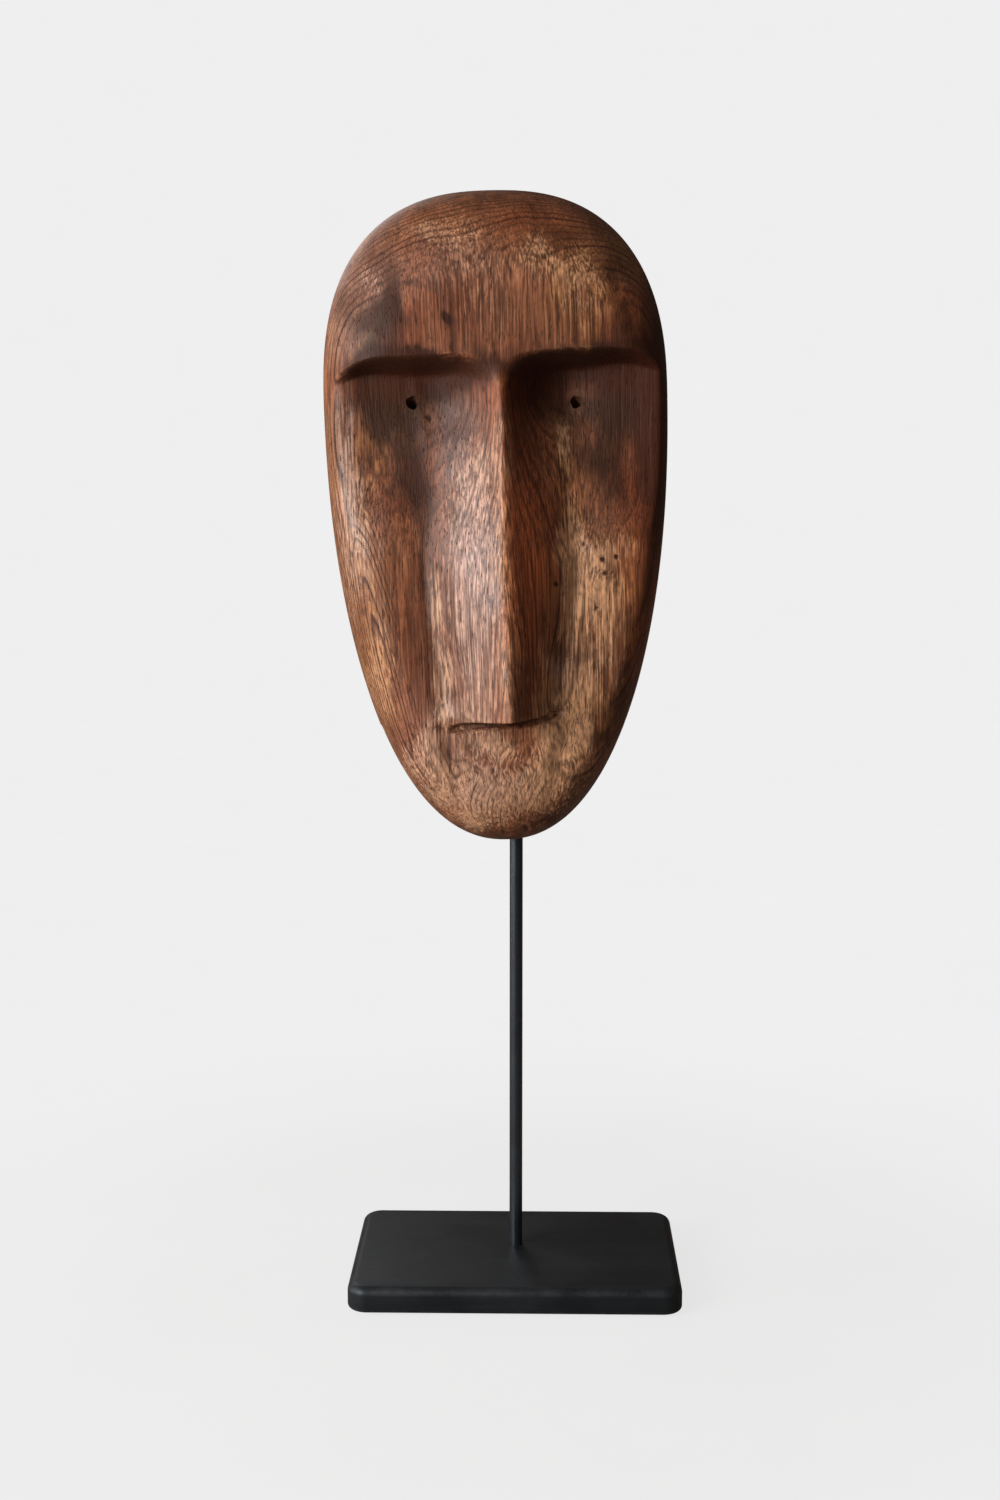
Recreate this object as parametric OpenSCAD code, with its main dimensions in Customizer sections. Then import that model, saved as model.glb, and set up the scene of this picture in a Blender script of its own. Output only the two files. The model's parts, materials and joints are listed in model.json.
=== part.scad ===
// Carved long-faced wooden mask on a slim round rod, set in a low flat base.
// Millimetres. +Z is up, the face looks towards -Y.
// The origin is on the rod's axis, on the surface that the base stands on.

/* [Mask] */
// height of the mask from chin to crown
mask_height = 289; // [220:1:350]
// width of the mask at its widest
mask_width = 153; // [116:1:190]
// scale of how far the carving stands out in front of the rod
mask_depth_scale = 1; // [0.8:0.05:1.25]
// height of the chin above the top of the base
chin_clearance = 193.5; // [120:0.5:260]
// how far the chin's lowest point sits to the side of the rod
mask_side_shift = -4.3; // [-6:0.1:6]
// sideways lean of the mask, in degrees
mask_lean = 1.5; // [0:0.1:3]
// turn of the mask about the rod, in degrees
mask_turn = 3; // [-8:0.5:8]
// thickness of the rounded rim behind the rod's axis
rim_back = 13; // [10:0.5:18]

/* [Face] */
// how far the lower face stands out before it is carved
block_front = 32.5; // [28:0.5:38]
// how much further the brow stands out than the chin
brow_overhang = 9.5; // [6:0.5:13]
// height of the brow's lower edge on the drawn mask
brow_height = 216; // [210:0.5:222]
// how far the cheeks stand out beside the eyes
cheek_front = 25; // [22:0.5:28]
// how far the nose's root stands out under the brow
nose_root_front = 41.5; // [38:0.5:44]
// how much further the nose stands out at its tip
nose_run = 13; // [8:0.5:18]
// height of the nose's cut lower end on the drawn mask
nose_end_height = 59; // [54:0.5:66]
// how far the lip under the nose stands out
lip_front = 36; // [33:0.5:38]
// height of the eye holes on the drawn mask
eye_height = 197.3; // [188:0.1:204]
// distance between the eye holes
eye_spacing = 71.6; // [60:0.1:84]
// diameter of the eye holes
eye_hole_d = 4.6; // [3:0.1:8]
// how steeply the eye holes slope down towards the back, in degrees
eye_hole_slope = 28; // [15:1:32]

/* [Hollow back] */
// wood left between the hollow and the mask's outline
hollow_margin = 15; // [12:0.5:20]
// depth of the hollow in front of the rim's back
hollow_depth = 21; // [14:0.5:24]
// solid wood left between the chin and the hollow
hollow_above_chin = 62; // [60:1:80]
// wood left between the hollow and the crown
hollow_below_crown = 16; // [12:0.5:28]

/* [Rod] */
// diameter of the rod
rod_d = 6; // [5:0.1:8]
// diameter of the rod's thin lower end, which passes through the base
rod_tail_d = 5; // [4:0.1:6]
// depth of the blind hole in the chin that the rod plugs into
socket_depth = 45; // [30:0.5:54]
// gap left above the rod in the blind hole
socket_gap = 0.3; // [0.2:0.05:1]
// rod to hole clearance on the radius
fit_clearance = 0.05; // [0.02:0.01:0.09]

/* [Base] */
// width of the base, side to side
base_width = 150; // [110:1:190]
// depth of the base, front to back
base_depth = 100; // [76:1:130]
// thickness of the base
base_thickness = 12; // [10:0.5:18]
// how far the base's middle sits in front of the rod
base_forward = 4.5; // [0:0.5:10]
// radius of the base's upright corners
corner_radius = 9; // [7:0.5:16]
// radius of the rounding along the top edge
top_round = 4; // [2:0.5:5]
// radius of the rounding along the bottom edge
bottom_round = 2; // [1:0.25:3]
// depth of the rod's seat in the top of the base
seat_depth = 2.2; // [1.8:0.1:4]
// wood left between the rod's seat and the nut's recess
web_thickness = 2.6; // [2:0.1:4.5]
// diameter of the recess for the nut and washers
recess_d = 15; // [13:0.5:18]

/* [Fixing] */
// diameter of the flat washer
washer_d = 10; // [9.5:0.5:12]
// thickness of the flat washer
washer_thick = 1; // [0.8:0.1:1.2]
// diameter of the spring washer
spring_d = 8.8; // [8.5:0.1:9.5]
// thickness of the spring washer
spring_thick = 1; // [0.8:0.1:1.2]
// nut size across the flats
nut_flats = 8; // [7:0.5:10]
// thickness of the nut
nut_thick = 2.7; // [2:0.1:3.5]

/* [Pads] */
// thickness of the felt pads under the base
pad_thick = 1.5; // [1:0.25:3]
// diameter of the four corner pads
pad_d = 16; // [10:0.5:22]
// diameter of the centre pad that covers the nut's recess
centre_pad_d = 24; // [20:0.5:30]
// distance from a corner pad's middle to the base's sides
pad_margin = 13; // [12:0.5:20]

/* [Hidden] */
$fn = 64;
tiny = 0.01;

// levels, from the surface that the base stands on
base_low = pad_thick;
base_top = base_low + base_thickness;
seat_level = base_top - seat_depth;
web_low = seat_level - web_thickness;
washer_low = web_low - washer_thick;
spring_low = washer_low - spring_thick;
nut_low = spring_low - nut_thick;
tail_reach = 0.4;
tail_low = nut_low - tail_reach;
chin_level = base_top + chin_clearance;
rod_top = chin_level + socket_depth - socket_gap;

// fixing clearances
washer_clearance = 0.15;
spring_clearance = 0.05;
spring_split = 1;
spring_split_angle = 20;
nut_chamfer = 0.5;
rod_chamfer = 0.5;

// the mask is drawn at these sizes and scaled to the set ones
drawn_height = 289;
drawn_half = 76.5;
scale_x = mask_width / (2 * drawn_half);
scale_y = mask_depth_scale;
scale_z = mask_height / drawn_height;
hollow_low = hollow_above_chin / scale_z;
hollow_high = drawn_height - hollow_below_crown / scale_z;
drawn_margin = hollow_margin / scale_x;

// outline of the mask seen from the front
widest_height = 198;
crown_inner = 2.5;
crown_outer = 2.5;
jaw_inner = 2.15;
jaw_outer = 2.2;

// the egg-shaped block before the face is cut into it
block_rise_from = 20;
crown_fall = 2.5;
crown_fall_from = 235;
edge_round = 22;
edge_round_bias = 3.5;
crown_round = 21;
crown_round_from = 215;
chin_round = 3;
chin_round_to = 40;
block_arch = 0.1;
rim_round = 11;

// brow edge
brow_tilt = 0.02;
brow_straight = 47;
brow_left_reach = 22;
brow_right_reach = 16;
brow_left_drop = 5.5;
brow_right_drop = 2.8;
brow_root_drop = 3;
brow_root_width = 9;
brow_slope = 5;
brow_slope_middle = 3;
brow_slope_root = 5;
brow_slope_width = 12;
brow_lip = 1;

// cheeks and eye sockets
eye_front = 24;
cheek_rise = 4;
cheek_rise_from = 195;
cheek_rise_to = 120;
cheek_bulge = 2;
cheek_bulge_x = 48;
cheek_bulge_width = 13;
socket_x = 24;
socket_h = 201;
socket_width = 17;
socket_left = 4;
socket_right = 5.5;
shelf_h = 133;
shelf_rise = 16;
shelf_x = 28;
shelf_length = 35;
shelf_step = 2;
left_step = 1.6;
outer_dish = 2;
outer_dish_x = 52;
outer_dish_width = 18;

// nose
ridge_x = 1.2;
ridge_sway = 0.8;
ridge_round = 1.6;
nose_left_low = 21;
nose_left_mid = 27.5;
nose_left_top = 35;
nose_right_low = 15.5;
nose_right_mid = 25.5;
nose_right_top = 24.5;
nose_flank_lift = 2.6;
nose_flank_fall = 0.8;
nose_flank_bow = 0.16;
nose_scoop = 2.1;
nose_scoop_eased = 0.6;
valley_depth = 1.8;
valley_width = 5;
nose_end_tilt = 0.05;
nose_cut = 1.8;

// lip and chin
lip_width = 30;
lip_arch = 5.5;
lip_fall = 0.5;
lip_hollow = 4;
lip_hollow_h = 51;
lip_hollow_height = 9;
lip_hollow_width = 25;

// hollow back
hollow_middle = 170;
hollow_side_power = 2.4;
hollow_end_power = 3;
hollow_ease = 0.7;

// how finely the mask's surface is divided
rows_chin = 11;
rows_cut = 2;
rows_face = 17;
rows_brow = 3;
rows_crown = 11;
front_steps = 40;
back_steps = 22;
edge_crowding = 0.45;

function held(v, lo, hi) = min(max(v, lo), hi);
function smooth(lo, hi, v) =
    let (t = held((v - lo) / (hi - lo), 0, 1))
    t * t * (3 - 2 * t);
function quarter(d, r) =
    let (t = 1 - held(d / r, 0, 1))
    sqrt(max(0, 1 - t * t));
function soft_min(a, b, k) = (a + b - sqrt((a - b) * (a - b) + k * k)) / 2;
function soft_max(a, b, k) = (a + b + sqrt((a - b) * (a - b) + k * k)) / 2;
function bump(v, middle, width) = exp(-pow((v - middle) / width, 2));

// half the mask's width at height h
function crown_part(h) =
    pow(1 - pow(held((h - widest_height) / (drawn_height - widest_height), 0, 1), crown_inner),
        1 / crown_outer);
function jaw_part(h) =
    pow(1 - pow(held((widest_height - h) / widest_height, 0, 1), jaw_inner), 1 / jaw_outer);
function half_width(h) = drawn_half * (h > widest_height ? crown_part(h) : jaw_part(h));
function outline_slope(h) =
    let (lo = held(h - 0.5, 0.02, drawn_height - 0.02), hi = held(h + 0.5, 0.02, drawn_height - 0.02))
    (half_width(hi) - half_width(lo)) / max(hi - lo, 0.001);

// distance inside the outline, with no kink on the centre line
function inset(x, h) =
    let (w = max(half_width(h), 0.0001), a = held(abs(x) / w, 0, 1))
    w * (1 - a * a) / 2 / sqrt(1 + pow(outline_slope(h), 2));

// the uncut block's front
function block(x, h) =
    let (depth = block_front + brow_overhang * smooth(block_rise_from, brow_height, h)
            - crown_fall * smooth(crown_fall_from, drawn_height, h),
        r = edge_round - edge_round_bias * x / drawn_half
            + crown_round * smooth(crown_round_from, drawn_height, h)
            + chin_round * smooth(chin_round_to, 0, h),
        arch = 1 - block_arch * pow(held(abs(x) / drawn_half, 0, 1), 2))
    depth * arch * quarter(inset(x, h), r);

// height of the brow's lower edge at x
function brow(x) =
    let (reach = x < 0 ? brow_left_reach : brow_right_reach,
        drop = x < 0 ? brow_left_drop : brow_right_drop,
        u = held((abs(x) - brow_straight) / reach, 0, 2))
    brow_height + brow_tilt * x - drop * u * u - brow_root_drop * bump(x, ridge_x, brow_root_width);

// how far under the brow's lower edge the ledge slopes away
function ledge_slope(x) =
    brow_slope + brow_slope_middle * smooth(62, 37, abs(x))
        + brow_slope_root * bump(x, ridge_x, brow_slope_width);

// cheeks and eye sockets
function shelf(x) = shelf_h + shelf_rise * pow(held((x - shelf_x) / shelf_length, 0, 1.3), 1.5);
function cheek(x, h) =
    let (floor_front = cheek_front + cheek_rise * smooth(cheek_rise_from, cheek_rise_to, h),
        bulge = cheek_bulge * bump(abs(x), cheek_bulge_x, cheek_bulge_width)
            * smooth(175, 135, h) * smooth(40, 70, h),
        right = x > 0 ? shelf_step * smooth(shelf(x) - 8, shelf(x) + 12, h) * smooth(18, 30, x) : 0,
        left = x < 0 ? left_step * smooth(130, 165, h) : 0,
        scoop_right = socket_right * bump(x, socket_x, socket_width) * bump(h, socket_h, socket_width),
        scoop_left = socket_left * bump(x, -socket_x, socket_width) * bump(h, socket_h, socket_width),
        dish = outer_dish * pow(held((abs(x) - outer_dish_x) / outer_dish_width, 0, 1), 2)
            * smooth(150, 190, h))
    floor_front + bulge - right - left - scoop_right - scoop_left + dish;

// nose
function ridge(h) = ridge_x - ridge_sway * smooth(190, brow_height, h) - ridge_sway * bump(h, 125, 25);
function nose_half(x, h) =
    x < ridge(h)
        ? nose_left_low + (nose_left_mid - nose_left_low) * smooth(56, 112, h)
            + (nose_left_top - nose_left_mid) * smooth(140, 212, h)
        : nose_right_low + (nose_right_mid - nose_right_low) * smooth(60, 132, h)
            + (nose_right_top - nose_right_mid) * smooth(136, 212, h);
function nose(x, h) =
    let (half = nose_half(x, h),
        away = x - ridge(h),
        off = sqrt(away * away + ridge_round * ridge_round) - ridge_round,
        top = nose_root_front + nose_run * pow(held((brow_height - h) / 154, 0, 1.2), 0.9),
        foot = cheek(x, h) + nose_flank_lift * smooth(170, 120, h),
        t = held(1 - off / half, 0, 1),
        plane = t + nose_flank_bow * t * (1 - t),
        scooped = pow(t, nose_scoop - nose_scoop_eased * smooth(188, 214, h)),
        w = smooth(130, 205, h))
    foot + (top - foot) * (plane * (1 - w) + scooped * w) - nose_flank_fall * max(off - half, 0);
function nose_end(x) = nose_end_height + nose_end_tilt * x + 2.5 * smooth(15, 21, x) - smooth(-18, -25, x);

// lip and chin under the nose
function lip(x, h) =
    lip_front - lip_arch * pow((x + ridge_x) / lip_width, 2)
        - lip_hollow * bump(h, lip_hollow_h, lip_hollow_height) * exp(-pow(x / lip_hollow_width, 4))
        - lip_fall * max(h - nose_end_height, 0);

// the whole carved front, as a depth in front of the rod's axis
function lower_face(x, h) =
    let (valley = valley_depth * bump(abs(x - ridge(h)), nose_half(x, h) + 3.5, valley_width)
            * smooth(160, 120, h) * smooth(40, 62, h))
    soft_min(block(x, h), soft_max(cheek(x, h) - valley, lip(x, h), 2.5), 3);
function front(x, h) =
    let (plain = lower_face(x, h),
        cut = smooth(nose_end(x) - nose_cut, nose_end(x), h),
        nosed = soft_max(plain, nose(x, h), 2.5 + 2.5 * smooth(110, 160, h)),
        face = plain + (nosed - plain) * cut,
        ledge = smooth(brow(x) - ledge_slope(x), brow(x) + brow_lip, h))
    max(face + (block(x, h) - face) * ledge, 0);

// the back: a rounded rim with a hollow gouged inside it
function rear(x, h) =
    let (w = max(half_width(h) - drawn_margin, 0.5),
        v = h > hollow_middle ? (h - hollow_middle) / (hollow_high - hollow_middle)
            : (hollow_middle - h) / (hollow_middle - hollow_low),
        e = 1 - pow(abs(x) / w, hollow_side_power) - pow(v, hollow_end_power))
    rim_back * quarter(inset(x, h), rim_round) - hollow_depth * smooth(0, hollow_ease, e);

// the surface is a stack of closed rings of points, with a point at each end
row_levels = concat(
    [for (i = [1:rows_chin]) (nose_end_height - nose_cut) * (1 - cos(90 * i / rows_chin))],
    [for (i = [1:rows_cut]) nose_end_height - nose_cut * (1 - i / rows_cut)],
    [for (i = [1:rows_face]) nose_end_height
        + (brow_height - brow_slope - nose_end_height) * i / rows_face],
    [for (i = [1:rows_brow]) brow_height - brow_slope + (brow_slope + brow_lip) * i / rows_brow],
    [for (i = [1:rows_crown - 1]) brow_height + brow_lip
        + (drawn_height - brow_height - brow_lip) * sin(90 * i / rows_crown)]);
ring_size = front_steps + back_steps;
function crowded(t) = (1 - edge_crowding) * t + edge_crowding * sin(90 * t);
function row_bend(x, level) =
    (brow(x) - brow_height) * bump(level, brow_height, 16)
        + (nose_end(x) - nose_end_height) * bump(level, nose_end_height, 7);
function face_point(s, level, is_front) =
    let (w0 = half_width(level),
        x0 = s * w0 + ridge(level) * (1 - s * s),
        h = held(level + row_bend(x0, level), 0.05, drawn_height - 0.05),
        w = half_width(h),
        x = s * w + ridge(level) * (1 - s * s) * min(w / 20, 1))
    [x * scale_x, is_front ? -front(x, h) * scale_y : rear(x, h), h * scale_z];
function ring(level) = concat(
    [for (j = [0:front_steps]) face_point(crowded(2 * j / front_steps - 1), level, true)],
    [for (j = [1:back_steps - 1]) face_point(crowded(1 - 2 * j / back_steps), level, false)]);
mask_points = concat(
    [for (level = row_levels) each ring(level)],
    [[0, -2 * scale_y, 0], [0, -8 * scale_y, drawn_height * scale_z]]);
low_point = len(row_levels) * ring_size;
high_point = low_point + 1;
last_row = (len(row_levels) - 1) * ring_size;
function step_on(j) = (j + 1) % ring_size;
mask_faces = concat(
    [for (i = [0:len(row_levels) - 2], j = [0:ring_size - 1])
        let (a = i * ring_size + j, b = i * ring_size + step_on(j))
        each [[a, a + ring_size, b + ring_size], [a, b + ring_size, b]]],
    [for (j = [0:ring_size - 1]) [low_point, j, step_on(j)]],
    [for (j = [0:ring_size - 1]) [high_point, last_row + step_on(j), last_row + j]]);

// puts the drawn mask in its leaning, slightly turned place above the rod
module mask_place() {
    translate([mask_side_shift, 0, chin_level])
        rotate([0, 0, mask_turn])
            rotate([0, -mask_lean, 0])
                children();
}

// a straight hole through the mask behind each eye, sloping down towards the back
module eye_hole(side) {
    drill = 70;
    translate([side * eye_spacing / 2 - ridge_x, -eye_front * mask_depth_scale, eye_height * scale_z])
        rotate([90 - eye_hole_slope, 0, 0])
            cylinder(h = drill, d = eye_hole_d, center = true);
}

module mask() {
    color([0.42, 0.24, 0.15])
        difference() {
            mask_place()
                polyhedron(points = mask_points, faces = mask_faces, convexity = 8);
            translate([0, 0, chin_level - 5])
                cylinder(h = socket_depth + 5, r = rod_d / 2 + fit_clearance);
            mask_place() {
                eye_hole(-1);
                eye_hole(1);
            }
        }
}

module rod() {
    color([0.05, 0.05, 0.055])
        union() {
            translate([0, 0, seat_level])
                cylinder(h = rod_top - rod_chamfer - seat_level, d = rod_d);
            translate([0, 0, rod_top - rod_chamfer])
                cylinder(h = rod_chamfer, d1 = rod_d, d2 = rod_d - 2 * rod_chamfer);
            translate([0, 0, tail_low + rod_chamfer])
                cylinder(h = seat_level - tail_low - rod_chamfer, d = rod_tail_d);
            translate([0, 0, tail_low])
                cylinder(h = rod_chamfer, d1 = rod_tail_d - 2 * rod_chamfer, d2 = rod_tail_d);
        }
}

// one rounded corner of the base, as a solid of revolution
module base_corner() {
    lower = [for (a = [0:15:90])
        [corner_radius - bottom_round + bottom_round * sin(a), bottom_round - bottom_round * cos(a)]];
    upper = [for (a = [0:15:90])
        [corner_radius - top_round + top_round * cos(a), base_thickness - top_round + top_round * sin(a)]];
    rotate_extrude($fn = 32)
        polygon(concat([[0, 0]], lower, upper, [[0, base_thickness]]));
}

module base() {
    reach_x = base_width / 2 - corner_radius;
    reach_y = base_depth / 2 - corner_radius;
    color([0.055, 0.055, 0.06])
        difference() {
            translate([0, -base_forward, base_low])
                hull() {
                    for (sx = [-1, 1], sy = [-1, 1]) {
                        translate([sx * reach_x, sy * reach_y, 0])
                            base_corner();
                    }
                }
            translate([0, 0, seat_level])
                cylinder(h = seat_depth + 1, r = rod_d / 2 + fit_clearance);
            translate([0, 0, web_low - 1])
                cylinder(h = web_thickness + 2, r = rod_tail_d / 2 + fit_clearance);
            translate([0, 0, base_low - 1])
                cylinder(h = web_low - base_low + 1, d = recess_d);
        }
}

module washer() {
    color([0.62, 0.62, 0.63])
        translate([0, 0, washer_low])
            difference() {
                cylinder(h = washer_thick, d = washer_d);
                translate([0, 0, -1])
                    cylinder(h = washer_thick + 2, r = rod_tail_d / 2 + washer_clearance);
            }
}

// a spring washer: a ring with one slanting split
module spring_washer() {
    color([0.5, 0.5, 0.52])
        translate([0, 0, spring_low])
            difference() {
                cylinder(h = spring_thick, d = spring_d);
                translate([0, 0, -1])
                    cylinder(h = spring_thick + 2, r = rod_tail_d / 2 + spring_clearance);
                translate([spring_d / 2, 0, spring_thick / 2])
                    rotate([spring_split_angle, 0, 0])
                        cube([spring_d, spring_split, 3 * spring_thick], center = true);
            }
}

module nut() {
    across_corners = nut_flats / cos(30);
    color([0.66, 0.66, 0.67])
        translate([0, 0, nut_low])
            difference() {
                cylinder(h = nut_thick, d = across_corners, $fn = 6);
                translate([0, 0, -1])
                    cylinder(h = nut_thick + 2, d = rod_tail_d);
                translate([0, 0, -tiny])
                    cylinder(h = nut_chamfer, d1 = rod_tail_d + 2 * nut_chamfer, d2 = rod_tail_d);
            }
}

module pad(x, y, d) {
    color([0.16, 0.16, 0.17])
        translate([x, y, 0])
            cylinder(h = pad_thick, d = d);
}

pad_x = base_width / 2 - pad_margin;
pad_y = base_depth / 2 - pad_margin;

module pad_front_left() {
    pad(-pad_x, -base_forward - pad_y, pad_d);
}

module pad_front_right() {
    pad(pad_x, -base_forward - pad_y, pad_d);
}

module pad_rear_left() {
    pad(-pad_x, -base_forward + pad_y, pad_d);
}

module pad_rear_right() {
    pad(pad_x, -base_forward + pad_y, pad_d);
}

module pad_centre() {
    pad(0, 0, centre_pad_d);
}

mask();
rod();
base();
washer();
spring_washer();
nut();
pad_front_left();
pad_front_right();
pad_rear_left();
pad_rear_right();
pad_centre();
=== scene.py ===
"""Carved long-faced wooden mask on a rod stand: its visible pieces, studio and camera."""

import json
import logging
import math
from dataclasses import dataclass, field
from enum import Enum
from typing import Callable, Iterable, Sequence, Union

import bmesh
import bpy
import numpy as np
from mathutils import Euler, Matrix, Vector, noise

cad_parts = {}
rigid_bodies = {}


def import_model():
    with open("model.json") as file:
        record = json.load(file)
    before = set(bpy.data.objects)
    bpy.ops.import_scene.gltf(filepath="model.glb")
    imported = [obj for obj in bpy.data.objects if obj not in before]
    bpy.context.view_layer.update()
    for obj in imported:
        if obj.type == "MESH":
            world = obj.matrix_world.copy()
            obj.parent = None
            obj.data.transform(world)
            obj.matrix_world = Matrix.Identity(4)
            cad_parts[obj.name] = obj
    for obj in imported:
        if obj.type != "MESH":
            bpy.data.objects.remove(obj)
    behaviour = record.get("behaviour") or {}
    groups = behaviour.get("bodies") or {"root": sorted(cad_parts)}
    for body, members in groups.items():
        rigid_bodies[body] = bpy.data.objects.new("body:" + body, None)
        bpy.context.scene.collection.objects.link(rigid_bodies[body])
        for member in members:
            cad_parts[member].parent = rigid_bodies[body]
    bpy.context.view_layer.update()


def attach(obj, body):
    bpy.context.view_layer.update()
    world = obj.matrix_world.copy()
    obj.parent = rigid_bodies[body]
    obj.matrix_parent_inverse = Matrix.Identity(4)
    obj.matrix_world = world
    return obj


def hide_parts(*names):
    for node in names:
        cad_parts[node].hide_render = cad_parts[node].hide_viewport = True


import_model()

LOG = logging.getLogger("carved_mask")
MM = 0.001
Array = np.ndarray
Socket = bpy.types.NodeSocket
Value = Union[float, Socket]
Patterns = dict[str, Socket]
Colour = tuple[float, float, float]


class Body(Enum):
    """The moving bodies that a piece can ride on."""

    STAND = "stand"
    ROD = "rod"
    MASK = "mask"


class Slot(Enum):
    """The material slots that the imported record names."""

    WOOD = "carved_wood"
    ROD = "black_rod"
    BASE = "black_base"
    BRIGHT = "bright_steel"
    SPRING = "spring_steel"
    FELT = "felt"


# ---------------------------------------------------------------- small helpers


def deselect_all() -> None:
    """Leaves object mode with nothing selected."""
    if bpy.context.object and bpy.context.object.mode != "OBJECT":
        bpy.ops.object.mode_set(mode="OBJECT")
    for obj in bpy.context.scene.objects:
        obj.select_set(False)


def make_active(obj: bpy.types.Object) -> bpy.types.Object:
    """Selects one object alone and makes it the active one.

    Args:
        obj: The object to select.

    Returns:
        The same object.
    """
    deselect_all()
    obj.select_set(True)
    bpy.context.view_layer.objects.active = obj
    return obj


def apply_modifier(obj: bpy.types.Object, modifier: bpy.types.Modifier) -> None:
    """Applies one modifier to its object's mesh.

    Args:
        obj: The object that holds the modifier.
        modifier: The modifier to apply.
    """
    make_active(obj)
    bpy.ops.object.modifier_apply(modifier=modifier.name)


def settle(obj: bpy.types.Object) -> bpy.types.Object:
    """Moves the object's place, turn and size into its mesh.

    Args:
        obj: The object to settle.

    Returns:
        The same object, at the origin, unturned and unscaled.
    """
    make_active(obj)
    bpy.ops.object.transform_apply(location=True, rotation=True, scale=True)
    return obj


def cut_out(obj: bpy.types.Object, cutter: bpy.types.Object) -> None:
    """Cuts one closed mesh out of another and removes the cutter.

    Args:
        obj: The piece that is cut.
        cutter: The closed shape to take away.
    """
    change = obj.modifiers.new("cut", "BOOLEAN")
    change.operation = "DIFFERENCE"
    change.solver = "EXACT"
    change.object = cutter
    apply_modifier(obj, change)
    bpy.data.objects.remove(cutter, do_unlink=True)


def add_cylinder(name: str, radius: float, low: float, high: float, sides: int = 48) -> bpy.types.Object:
    """Adds an upright cylinder on the Z axis, between two levels.

    Args:
        name: The new object's name.
        radius: Radius in millimetres.
        low: Level of the lower end in millimetres.
        high: Level of the upper end in millimetres.
        sides: How many sides the circle has.

    Returns:
        The new object, settled.
    """
    deselect_all()
    bpy.ops.mesh.primitive_cylinder_add(
        vertices=sides, radius=radius * MM, depth=(high - low) * MM,
        location=(0, 0, (low + high) / 2 * MM))
    obj = bpy.context.object
    obj.name = name
    return settle(obj)


def write_attribute(obj: bpy.types.Object, name: str, values: Array) -> None:
    """Stores one number per vertex on a mesh.

    Args:
        obj: The object whose mesh takes the values.
        name: The attribute's name.
        values: One value per vertex.
    """
    mesh = obj.data
    layer = mesh.attributes.get(name) or mesh.attributes.new(name, "FLOAT", "POINT")
    layer.data.foreach_set("value", np.asarray(values, np.float32))


def points_of(obj: bpy.types.Object) -> Array:
    """Reads the mesh's vertex positions.

    Args:
        obj: The object whose mesh is read.

    Returns:
        Positions in metres, one row per vertex.
    """
    co = np.zeros(len(obj.data.vertices) * 3, np.float32)
    obj.data.vertices.foreach_get("co", co)
    return co.reshape(-1, 3).astype(float)


def set_points(obj: bpy.types.Object, points: Array) -> None:
    """Writes the mesh's vertex positions.

    Args:
        obj: The object whose mesh changes.
        points: Positions in metres, one row per vertex.
    """
    obj.data.vertices.foreach_set("co", np.asarray(points, np.float32).ravel())
    obj.data.update()


def unevenness(points: Array, size: Sequence[float], seed: float) -> Array:
    """Smooth random height over a set of points, the same on every run.

    Args:
        points: Positions in millimetres, one row each.
        size: Size of the bumps along each axis, in millimetres.
        seed: Shifts the pattern, so that each use differs.

    Returns:
        One value from about -1 to 1 per point.
    """
    scaled = points / np.asarray(size, float) + seed
    return np.array([noise.noise(Vector(p)) for p in scaled])


def dress(obj: bpy.types.Object, material: bpy.types.Material, body: Body,
          nodes: Sequence[str]) -> bpy.types.Object:
    """Gives a finished piece its material, its body and the nodes it stands for.

    Args:
        obj: The finished piece.
        material: The finish it wears.
        body: The body it rides on.
        nodes: The plain solids that it stands for.

    Returns:
        The same object.
    """
    obj.data.materials.clear()
    obj.data.materials.append(material)
    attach(obj, body.value)
    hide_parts(*nodes)
    return obj


# ---------------------------------------------------------------- shader building


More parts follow.
